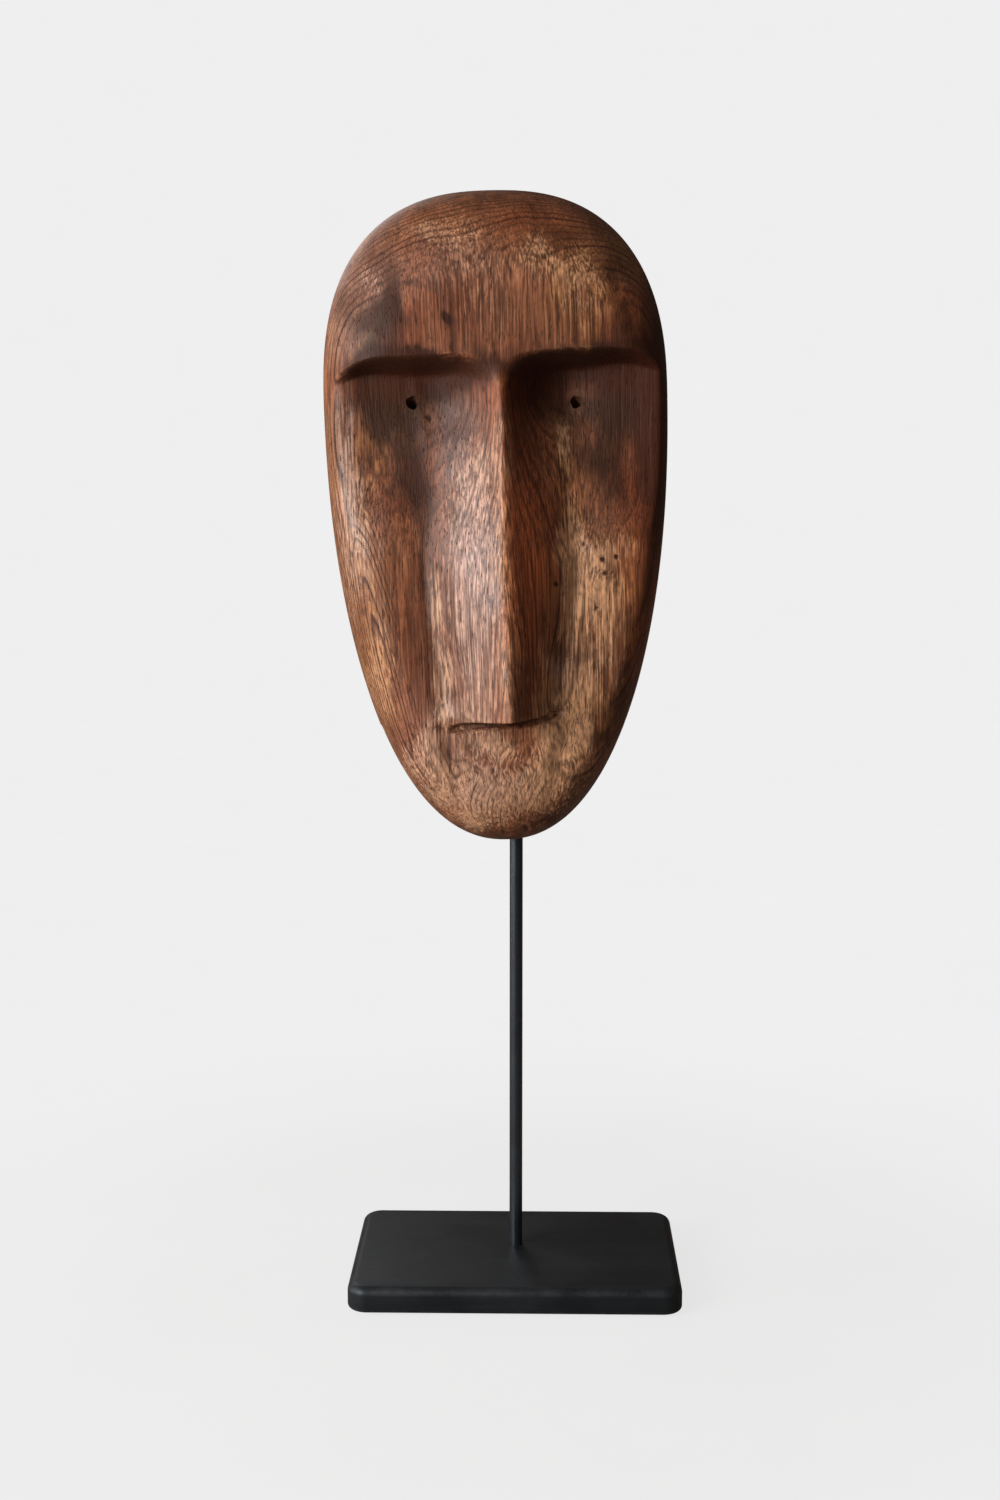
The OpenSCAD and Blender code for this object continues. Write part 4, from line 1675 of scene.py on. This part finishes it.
    def mark(self, obj: bpy.types.Object) -> None:
        """Stores the marks that the wood's finish reads, one for each name in MARKS.

        Args:
            obj: The finished carving.
        """
        points = self.place.to_drawn(points_of(obj))
        x, depth, h = points.T
        flat = np.column_stack([x, np.zeros_like(x), h])
        x_off = (x + 3.2 * unevenness(flat, (13, 13, 18), 41.0)
                 + 1.2 * unevenness(flat, (3.5, 3.5, 9), 43.0))
        h_off = (h + 4.5 * unevenness(flat, (12, 12, 16), 47.0)
                 + 2.0 * unevenness(flat, (2.5, 2.5, 8), 49.0))
        facing = smooth(-4.0, 10.0, -depth)
        curve = surface_curve(obj, 10)
        gouged = smooth(2, 8, self.relief.inset(x, h)) * (depth > -12) * self.relief.hollow(x, h)
        behind = np.maximum(smooth(-6.0, 3.0, depth), gouged)
        pitted = 1.3 * covered(PITS, x, h)
        # Stains, with painted shadows under the brows, down the right edge and under the nose's end.
        write_attribute(obj, "stain_and_painted_shade", np.clip(covered(STAINS_AND_PAINTED_SHADOWS, x_off, h_off) + pitted, 0, 1.3) * facing)
        # The worn marks also hold painted light, the rose marks a painted sheen and the russet marks a
        # painted shade colour.
        for name, spots in (("worn", WORN_AND_PAINTED_LIGHT), ("ochre", OCHRE), ("painted_sheen", PAINTED_SHEEN), ("russet_and_painted_shade", RUSSET_AND_PAINTED_SHADE),
                            ("curled", CURLED)):
            write_attribute(obj, name, covered(spots, x_off, h_off) * facing)
        for name, spots in (("flared", FLARED), ("cupped", CUPPED)):
            write_attribute(obj, name, covered(spots, x, h) * facing)
        # Dirt with painted shade in the mesh's hollows: darker the further a place lies under its
        # surroundings.
        write_attribute(obj, "hollow", smooth(0.03, 0.22, curve))
        write_attribute(obj, "edge", smooth(0.04, 0.24, -curve))
        write_attribute(obj, "rear", behind)
        write_attribute(obj, "slant", smooth(0.25, 0.75, self.slanting(obj)))


def vertex_normals(obj: bpy.types.Object) -> Array:
    """Reads the mesh's vertex normals.

    Args:
        obj: The object whose mesh is read.

    Returns:
        One normal per vertex.
    """
    normals = np.zeros(len(obj.data.vertices) * 3, np.float32)
    obj.data.vertices.foreach_get("normal", normals)
    return normals.reshape(-1, 3).astype(float)


def surface_curve(obj: bpy.types.Object, passes: int) -> Array:
    """How far each vertex lies under its smoothed surroundings, in millimetres.

    Args:
        obj: The object to measure.
        passes: How many times the surroundings are smoothed.

    Returns:
        Positive numbers in hollows and negative ones on edges.
    """
    mesh = obj.data
    count = len(mesh.vertices)
    ends = np.zeros(len(mesh.edges) * 2, np.int32)
    mesh.edges.foreach_get("vertices", ends)
    a, b = ends.reshape(-1, 2).T
    degree = np.bincount(a, minlength=count) + np.bincount(b, minlength=count)
    start = points_of(obj) / MM
    near = start.copy()
    for _ in range(passes):
        sums = [np.bincount(a, near[b, i], count) + np.bincount(b, near[a, i], count) for i in range(3)]
        near = np.column_stack([total / np.maximum(degree, 1) for total in sums])
    return np.sum((near - start) * vertex_normals(obj), axis=1)


# ---------------------------------------------------------------- the stand


def turned_piece(name: str, profile: Sequence[tuple[float, float]], sides: int) -> bpy.types.Object:
    """Turns a solid round piece from a cylinder cut into rows.

    Args:
        name: The new object's name.
        profile: Radius and level of each row from the lowest, in millimetres.
        sides: How many sides the circle has.

    Returns:
        The new object, settled.
    """
    obj = add_cylinder(name, 1.0, 0.0, len(profile) - 1.0, sides)
    make_active(obj)
    bpy.ops.object.mode_set(mode="EDIT")
    mesh = bmesh.from_edit_mesh(obj.data)
    for edge in mesh.edges:
        low, high = (v.co.z for v in edge.verts)
        edge.select = abs(low - high) > 0.5 * MM
    mesh.select_flush_mode()
    bmesh.update_edit_mesh(obj.data)
    if len(profile) > 2:
        bpy.ops.mesh.select_mode(type="EDGE")
        bpy.ops.mesh.subdivide(number_cuts=len(profile) - 2)
    bpy.ops.object.mode_set(mode="OBJECT")
    points = points_of(obj) / MM
    row = np.rint(points[:, 2]).astype(int)
    table = np.array(profile)
    angle = np.arctan2(points[:, 1], points[:, 0])
    radius = table[row, 0]
    turned = np.column_stack([radius * np.cos(angle), radius * np.sin(angle), table[row, 1]])
    set_points(obj, turned * MM)
    return obj


def bevel_edges(obj: bpy.types.Object, width: float, steps: int,
                chosen: Callable[[Vector, Vector], bool]) -> None:
    """Rounds the edges that a test picks.

    Args:
        obj: The object to round.
        width: Width of the round, in millimetres.
        steps: How many faces it has.
        chosen: Tells from an edge's two ends, in millimetres, whether it is rounded.
    """
    make_active(obj)
    bpy.ops.object.mode_set(mode="EDIT")
    bpy.ops.mesh.select_mode(type="EDGE")
    bpy.ops.mesh.select_all(action="DESELECT")
    mesh = bmesh.from_edit_mesh(obj.data)
    for edge in mesh.edges:
        ends = [v.co / MM for v in edge.verts]
        edge.select_set(chosen(ends[0], ends[1]))
    bmesh.update_edit_mesh(obj.data)
    bpy.ops.mesh.bevel(offset=width * MM, segments=steps, profile=0.5, affect="EDGES",
                       clamp_overlap=False)
    bpy.ops.object.mode_set(mode="OBJECT")


@dataclass
class SlimRod:
    """The slim round rod, with its threaded tail that passes through the base."""

    radius: float = 3.0
    low: float = 11.3
    high: float = 251.7
    chamfer: float = 0.5
    tail_radius: float = 2.5
    tail_low: float = 3.6
    pitch: float = 0.8
    thread_depth: float = 0.28
    thread_high: float = 10.6
    seat_break: float = 0.12
    tail_rows: int = 70
    body_rows: int = 60

    def build(self, effects: SharedEffects) -> bpy.types.Object:
        """Turns, threads and dresses the rod.

        Args:
            effects: The shared node groups.

        Returns:
            The finished piece.
        """
        tail = [(self.tail_radius, self.tail_low + (self.low - self.tail_low) * i / self.tail_rows)
                for i in range(self.tail_rows + 1)]
        tail = [(self.tail_radius - self.chamfer, self.tail_low)] + [
            (r, z + (self.chamfer if i == 0 else 0)) for i, (r, z) in enumerate(tail) if i == 0 or i > 5]
        shank = [(self.radius - self.seat_break, self.low), (self.radius, self.low + self.seat_break)]
        body = [(self.radius, self.low + 0.3 + (self.high - self.low - 0.9) * i / self.body_rows)
                for i in range(self.body_rows + 1)]
        tip = [(self.radius, self.high - self.chamfer), (self.radius - self.chamfer, self.high)]
        obj = turned_piece("slim_rod", tail + shank + body + tip, 48)
        self.cut_thread(obj)
        points = points_of(obj) / MM
        write_attribute(obj, "edge", np.maximum(bump(points[:, 2], self.high, 1.2),
                                                bump(points[:, 2], self.low, 0.6)))
        make_active(obj)
        bpy.ops.object.shade_smooth_by_angle(angle=math.radians(35))
        finish = BlackPaint("satin_black_rod", paint=(0.0050, 0.0064, 0.0092), roughness=0.33,
                            line_size=(1.0, 1.0, 26.0), line_depth=0.03, wear_amount=0.4, coat=0.5,
                            coat_roughness=0.3, specular=0.7, gloss_tint=(0.74, 0.87, 1.0))
        return dress(obj, finish.build(effects), Body.ROD, ["rod"])

    def cut_thread(self, obj: bpy.types.Object) -> None:
        """Cuts a screw thread into the tail.

        Args:
            obj: The turned rod.
        """
        points = points_of(obj) / MM
        radius = np.hypot(points[:, 0], points[:, 1])
        angle = np.arctan2(points[:, 1], points[:, 0])
        on_tail = (np.abs(radius - self.tail_radius) < 0.1) & (points[:, 2] < self.low - 0.05)
        phase = np.mod(points[:, 2] / self.pitch - angle / (2 * math.pi), 1.0)
        groove = (1 - np.abs(2 * phase - 1)) * smooth(0, 0.5, self.thread_high - points[:, 2])
        groove = np.where(on_tail, groove * self.thread_depth, 0.0)
        factor = (radius - groove) / np.maximum(radius, 1e-6)
        points[:, 0] *= factor
        points[:, 1] *= factor
        set_points(obj, points * MM)


@dataclass
class FlatBase:
    """The flat black wooden base, with rounded edges, the rod's seat and the recess for its nut."""

    width: float = 150.0
    depth: float = 100.0
    low: float = 1.5
    high: float = 13.5
    forward: float = 4.5
    corner: float = 9.0
    top_round: float = 4.0
    bottom_round: float = 2.0
    seat: tuple[float, float] = (3.05, 11.3)
    web: tuple[float, float] = (2.55, 8.7)
    recess: float = 7.5

    def build(self, effects: SharedEffects) -> bpy.types.Object:
        """Shapes, bores and dresses the base.

        Args:
            effects: The shared node groups.

        Returns:
            The finished piece.
        """
        deselect_all()
        bpy.ops.mesh.primitive_cube_add(
            size=1.0, location=(0, -self.forward * MM, (self.low + self.high) / 2 * MM),
            scale=(self.width * MM, self.depth * MM, (self.high - self.low) * MM))
        obj = settle(bpy.context.object)
        obj.name = "flat_base"
        bevel_edges(obj, self.corner, 12, lambda a, b: abs(a.z - b.z) > 1)
        bevel_edges(obj, self.top_round, 8, lambda a, b: min(a.z, b.z) > self.high - 0.01)
        bevel_edges(obj, self.bottom_round, 5, lambda a, b: max(a.z, b.z) < self.low + 0.01)
        cut_out(obj, add_cylinder("seat_drill", self.seat[0], self.seat[1], self.high + 3))
        cut_out(obj, add_cylinder("web_drill", self.web[0], self.web[1] - 1, self.seat[1] + 1))
        cut_out(obj, add_cylinder("recess_drill", self.recess, self.low - 3, self.web[1], 64))
        self.mark(obj)
        make_active(obj)
        bpy.ops.object.shade_smooth_by_angle(angle=math.radians(28))
        return dress(obj, self.finish(effects), Body.STAND, ["base"])

    def mark(self, obj: bpy.types.Object) -> None:
        """Stores where the edges are rubbed.

        Args:
            obj: The bored base.
        """
        x, y, z = (points_of(obj) / MM).T
        near_axis = np.hypot(x, y) < 9
        top = np.clip((z - self.high + self.top_round) / self.top_round, 0, 1)
        low = np.clip((self.low + self.bottom_round - z) / self.bottom_round, 0, 1)
        band = np.maximum(4 * top * (1 - top), 4 * low * (1 - low))
        write_attribute(obj, "edge", np.where(near_axis, 0.0, band))

    @staticmethod
    def finish(effects: SharedEffects) -> bpy.types.Material:
        """Builds the base's paint."""
        return BlackPaint("satin_black_base", paint=(0.0060, 0.0071, 0.0086), roughness=0.45,
                          line_size=(46.0, 1.5, 1.1), line_depth=0.07, wear_amount=0.28,
                          dust_amount=0.06, coat=0.05, specular=0.36).build(effects)


@dataclass
class Fixing:
    """The flat washer, spring washer and nut under the base that the rod's tail passes through."""

    washer: tuple[float, float, float, float] = (5.0, 2.65, 7.7, 8.7)
    spring: tuple[float, float, float, float] = (4.4, 2.55, 6.7, 7.7)
    split: float = 1.0
    split_angle: float = 20.0
    nut_flats: float = 8.0
    nut: tuple[float, float, float] = (2.5, 4.0, 6.7)
    nut_chamfer: float = 0.5
    edge_break: float = 0.12
    thread_lead: float = 0.35
    sides: int = 64

    def build(self, effects: SharedEffects) -> list[bpy.types.Object]:
        """Makes and dresses the three pieces.

        Args:
            effects: The shared node groups.

        Returns:
            The washer, the spring washer and the nut.
        """
        bright = PlatedSteel("bright_plated_steel").build(effects)
        dull = PlatedSteel("dull_spring_steel", colour=(0.36, 0.36, 0.37), tarnish=(0.16, 0.14, 0.12),
                           roughness=0.36).build(effects)
        made = [(self.make_ring("flat_washer", self.washer), bright, Slot.BRIGHT, "washer"),
                (self.make_spring(), dull, Slot.SPRING, "spring_washer"),
                (self.make_nut(), bright, Slot.BRIGHT, "nut")]
        for obj, material, slot, node in made:
            self.soften(obj)
            dress(obj, material, Body.ROD, [node])
        return [row[0] for row in made]

    def make_ring(self, name: str, sizes: tuple[float, float, float, float]) -> bpy.types.Object:
        """Cuts a flat ring.

        Args:
            name: The new object's name.
            sizes: Outer radius, hole radius, lower level and upper level.

        Returns:
            The ring.
        """
        outer, hole, low, high = sizes
        edge = self.edge_break
        obj = turned_piece(name, [(outer - edge, low), (outer, low + edge), (outer, high - edge),
                                  (outer - edge, high)], self.sides)
        cut_out(obj, add_cylinder("washer_drill", hole, low - 1, high + 1, self.sides))
        return obj

    def make_spring(self) -> bpy.types.Object:
        """Cuts a ring through with a slanted split.

        Returns:
            The spring washer.
        """
        obj = self.make_ring("spring_ring", self.spring)
        deselect_all()
        middle = (self.spring[0] + self.spring[1]) / 2
        bpy.ops.mesh.primitive_cube_add(
            size=1.0, location=(middle * MM, 0, (self.spring[2] + self.spring[3]) / 2 * MM),
            rotation=(math.radians(self.split_angle), 0, 0), scale=(4 * MM, self.split * MM, 4 * MM))
        cut_out(obj, settle(bpy.context.object))
        return obj

    def make_nut(self) -> bpy.types.Object:
        """Cuts a six-sided nut with turned corners and a countersunk hole.

        Returns:
            The nut.
        """
        hole, low, high = self.nut
        corner = self.nut_flats / math.sqrt(3)
        obj = add_cylinder("hex_nut", corner, low, high, 6)
        flat = self.nut_flats / 2
        rows = [(flat - 0.1, low - 0.01), (corner + 0.1, low + self.nut_chamfer),
                (corner + 0.1, high - 0.2), (flat + 0.1, high + 0.01)]
        turned = turned_piece("nut_turning", rows, self.sides)
        change = obj.modifiers.new("corners", "BOOLEAN")
        change.operation, change.solver, change.object = "INTERSECT", "EXACT", turned
        apply_modifier(obj, change)
        bpy.data.objects.remove(turned, do_unlink=True)
        wide, lead = hole + self.thread_lead, self.thread_lead - 0.01
        bore = [(wide, low - 0.01), (hole, low + lead), (hole, high - lead), (wide, high + 0.01)]
        cut_out(obj, turned_piece("nut_tap", bore, 48))
        return obj

    @staticmethod
    def soften(obj: bpy.types.Object) -> None:
        """Rounds sharp edges a little and stores where they are.

        Args:
            obj: The piece to soften.
        """
        change = obj.modifiers.new("soften", "BEVEL")
        change.width, change.segments = 0.06 * MM, 2
        change.limit_method, change.angle_limit = "ANGLE", math.radians(30)
        apply_modifier(obj, change)
        write_attribute(obj, "edge", smooth(0.002, 0.02, -surface_curve(obj, 1)))
        make_active(obj)
        bpy.ops.object.shade_smooth_by_angle(angle=math.radians(30))


@dataclass
class FeltPads:
    """The five felt pads that the base stands on."""

    thickness: float = 1.5
    corner_radius: float = 8.0
    centre_radius: float = 12.0
    cap_insets: tuple[float, ...] = (0.6, 1.2, 2.4)
    places: tuple[tuple[str, float, float], ...] = (
        ("pad_front_left", -62.0, -41.5), ("pad_front_right", 62.0, -41.5),
        ("pad_rear_left", -62.0, 32.5), ("pad_rear_right", 62.0, 32.5), ("pad_centre", 0.0, 0.0))

    def build(self, effects: SharedEffects) -> list[bpy.types.Object]:
        """Cuts and dresses the pads.

        Args:
            effects: The shared node groups.

        Returns:
            The finished pads.
        """
        felt = PressedFelt().build(effects)
        made = []
        for index, (node, x, y) in enumerate(self.places):
            radius = self.centre_radius if node == "pad_centre" else self.corner_radius
            obj = self.cut_pad(node, radius, (x, y), index)
            made.append(dress(obj, felt, Body.STAND, [node]))
        return made

    def cut_pad(self, node: str, radius: float, place: tuple[float, float],
                index: int) -> bpy.types.Object:
        """Cuts one pad with a soft, slightly uneven edge.

        Args:
            node: The solid it stands for.
            radius: Its radius.
            place: Its middle.
            index: Its number, which varies its edge.

        Returns:
            The pad.
        """
        t = self.thickness
        rows = [(radius - 0.45, 0.0), (radius - 0.12, 0.12), (radius, 0.45), (radius, t * 0.5),
                (radius, t - 0.4), (radius - 0.1, t - 0.1), (radius - 0.3, t)]
        obj = turned_piece("felt_" + node, rows, 96)
        self.ring_caps(obj)
        points = points_of(obj) / MM
        reach = np.hypot(points[:, 0], points[:, 1])
        rim = smooth(radius - 2.0, radius - 0.3, reach)
        fray = unevenness(points + index * 31.0, (1.7, 1.7, 0.9), 3.0) * 0.16 - 0.10
        factor = 1 + fray * rim / np.maximum(reach, 1e-6)
        middle = np.clip(1 - np.abs(2 * points[:, 2] / t - 1), 0, 1)
        points[:, 2] += 0.05 * middle * unevenness(points, (1.2, 1.2, 1.2), index + 7.0)
        points[:, 0] = points[:, 0] * factor + place[0]
        points[:, 1] = points[:, 1] * factor + place[1]
        set_points(obj, points * MM)
        make_active(obj)
        bpy.ops.object.shade_smooth_by_angle(angle=math.radians(40))
        return obj

    def ring_caps(self, obj: bpy.types.Object) -> None:
        """Insets both flat faces, so that the edge can be uneven.

        Args:
            obj: The turned pad.
        """
        make_active(obj)
        bpy.ops.object.mode_set(mode="EDIT")
        bpy.ops.mesh.select_mode(type="FACE")
        bpy.ops.mesh.select_all(action="DESELECT")
        mesh = bmesh.from_edit_mesh(obj.data)
        for face in mesh.faces:
            face.select_set(len(face.verts) > 8)
        bmesh.update_edit_mesh(obj.data)
        for width in self.cap_insets:
            bpy.ops.mesh.inset(thickness=width * MM, use_individual=True)
        bpy.ops.object.mode_set(mode="OBJECT")


# ---------------------------------------------------------------- the studio


@dataclass(frozen=True)
class SoftBox:
    """A rectangular soft light, placed by its direction from the mask."""

    name: str
    azimuth: float
    elevation: float
    distance: float
    size: tuple[float, float]
    power: float
    aim: tuple[float, float, float] = (0.0, 0.0, 0.33)
    colour: Colour = (1.0, 1.0, 1.0)

    def build(self) -> bpy.types.Object:
        """Hangs the light.

        Returns:
            The light.
        """
        lamp = bpy.data.lights.new(self.name, "AREA")
        lamp.shape = "RECTANGLE"
        lamp.size, lamp.size_y = self.size
        lamp.energy = self.power
        lamp.color = self.colour
        obj = bpy.data.objects.new(self.name, lamp)
        bpy.context.scene.collection.objects.link(obj)
        a, e = math.radians(self.azimuth), math.radians(self.elevation)
        away = Vector((math.sin(a) * math.cos(e), -math.cos(a) * math.cos(e), math.sin(e)))
        obj.location = Vector(self.aim) + away * self.distance
        obj.rotation_euler = (-away).to_track_quat("-Z", "Y").to_euler()
        return obj


@dataclass
class Studio:
    """A pale seamless floor and backdrop, soft lights and the camera."""

    pale: float = 0.863
    fill: float = 0.13
    fill_colour: Colour = (1.0, 0.88, 0.78)
    floor_bounce: float = 0.30
    floor_size: float = 6.0
    sweep_round: float = 900.0
    shadow_share: float = 0.12
    shadow_reach: tuple[float, float] = (120.0, 420.0)
    camera_place: tuple[float, float, float] = (0.0097, -0.878, 0.3565)
    camera_drop: float = math.atan(240 / 1938)
    camera_turn: float = math.radians(1.12)
    sensor: float = 36.0
    lens: float = 46.512
    lights: tuple[SoftBox, ...] = (
        SoftBox("key_softbox", -46.0, 10.0, 1.6, (0.7, 0.7), 27.0),
        SoftBox("side_strip", -84.0, 6.0, 1.2, (0.25, 1.0), 4.5),
        SoftBox("rear_softbox", -152.0, 28.0, 1.8, (1.0, 0.8), 5.0),
    )

    def build(self) -> None:
        """Sets up the floor, the lights, the surroundings and the camera."""
        self.set_world()
        self.lay_floor()
        for light in self.lights:
            light.build()
        self.set_camera()
        bpy.context.scene.view_settings.view_transform = "Standard"

    def set_world(self) -> None:
        """Gives even pale surroundings that light the piece only weakly."""
        world = bpy.data.worlds.new("pale_surroundings")
        bpy.context.scene.world = world
        world.use_nodes = True
        g = Graph(world.node_tree)
        back = world.node_tree.nodes["Background"]
        seen = g.add("ShaderNodeLightPath").outputs["Is Camera Ray"]
        tint = g.blend(seen, self.fill_colour, (1.0, 1.0, 1.0))
        g.feed(back.inputs["Color"], tint)
        g.feed(back.inputs["Strength"], g.ease(seen, 0.0, 1.0, self.fill, self.pale, smooth=False))

    def lay_floor(self) -> None:
        """Lays the floor, which sweeps up into the backdrop."""
        deselect_all()
        bpy.ops.mesh.primitive_plane_add(size=self.floor_size, location=(0, 0, 0))
        floor = settle(bpy.context.object)
        floor.name = "studio_floor"
        make_active(floor)
        bpy.ops.object.mode_set(mode="EDIT")
        bpy.ops.mesh.select_mode(type="EDGE")
        bpy.ops.mesh.select_all(action="DESELECT")
        mesh = bmesh.from_edit_mesh(floor.data)
        back = self.floor_size / 2 - 0.1
        for edge in mesh.edges:
            edge.select_set(all(v.co.y > back for v in edge.verts))
        bmesh.update_edit_mesh(floor.data)
        bpy.ops.mesh.extrude_region_move(TRANSFORM_OT_translate={"value": (0, 0, self.floor_size / 2)})
        bpy.ops.object.mode_set(mode="OBJECT")
        bevel_edges(floor, self.sweep_round, 16,
                    lambda a, b: min(a.y, b.y) > back / MM and max(a.z, b.z) < 1)
        make_active(floor)
        bpy.ops.object.shade_smooth()
        floor.data.materials.append(self.floor_material())

    def floor_material(self) -> bpy.types.Material:
        """Builds a nearly even pale floor that takes a faint soft shadow.

        Returns:
            The material.
        """
        made = bpy.data.materials.new("pale_floor")
        made.use_nodes = True
        g = Graph(made.node_tree)
        made.node_tree.nodes.clear()
        at = in_millimetres(g)
        mottle = g.ease(g.noise(at, (90.0, 90.0, 90.0), 3.0, 0.6, 2.0), 0.3, 0.7, 0.996, 1.004)
        lit = g.add("ShaderNodeBsdfDiffuse")
        bounce = g.add("ShaderNodeBsdfDiffuse")
        glow = g.add("ShaderNodeEmission")
        lit.inputs["Color"].default_value = (0.86, 0.86, 0.86, 1)
        warm = [self.floor_bounce * part for part in self.fill_colour]
        bounce.inputs["Color"].default_value = (*warm, 1.0)
        g.feed(glow.inputs["Strength"], g.times(mottle, self.pale))
        apart = g.add("ShaderNodeVectorMath", operation="LENGTH")
        g.feed(apart.inputs[0], at)
        seen = g.add("ShaderNodeMixShader")
        shade = g.ease(apart.outputs["Value"], *self.shadow_reach, self.shadow_share, 0.0)
        g.feed(seen.inputs[0], shade)
        g.feed(seen.inputs[1], glow.outputs[0])
        g.feed(seen.inputs[2], lit.outputs[0])
        both = g.add("ShaderNodeMixShader")
        g.feed(both.inputs[0], g.add("ShaderNodeLightPath").outputs["Is Camera Ray"])
        g.feed(both.inputs[1], bounce.outputs[0])
        g.feed(both.inputs[2], seen.outputs[0])
        g.feed(g.add("ShaderNodeOutputMaterial").inputs["Surface"], both.outputs[0])
        return made

    def set_camera(self) -> None:
        """Places the camera."""
        lens = bpy.data.cameras.new("studio_camera")
        lens.sensor_width = self.sensor
        lens.lens = self.lens
        camera = bpy.data.objects.new("studio_camera", lens)
        bpy.context.scene.collection.objects.link(camera)
        camera.location = self.camera_place
        camera.rotation_euler = (math.pi / 2 - self.camera_drop, 0.0, self.camera_turn)
        bpy.context.scene.camera = camera


def report(obj: bpy.types.Object) -> None:
    """Logs a finished piece and how many faces it has."""
    LOG.info("%s: %d faces", obj.name, len(obj.data.polygons))


def main() -> None:
    """Builds the studio and every piece in order."""
    logging.basicConfig(level=logging.INFO, format="%(name)s %(message)s")
    Studio().build()
    effects = SharedEffects.build()
    report(FlatBase().build(effects))
    report(SlimRod().build(effects))
    for obj in Fixing().build(effects) + FeltPads().build(effects):
        report(obj)
    report(CarvedMask().build(effects))


if __name__ == "__main__":
    main()
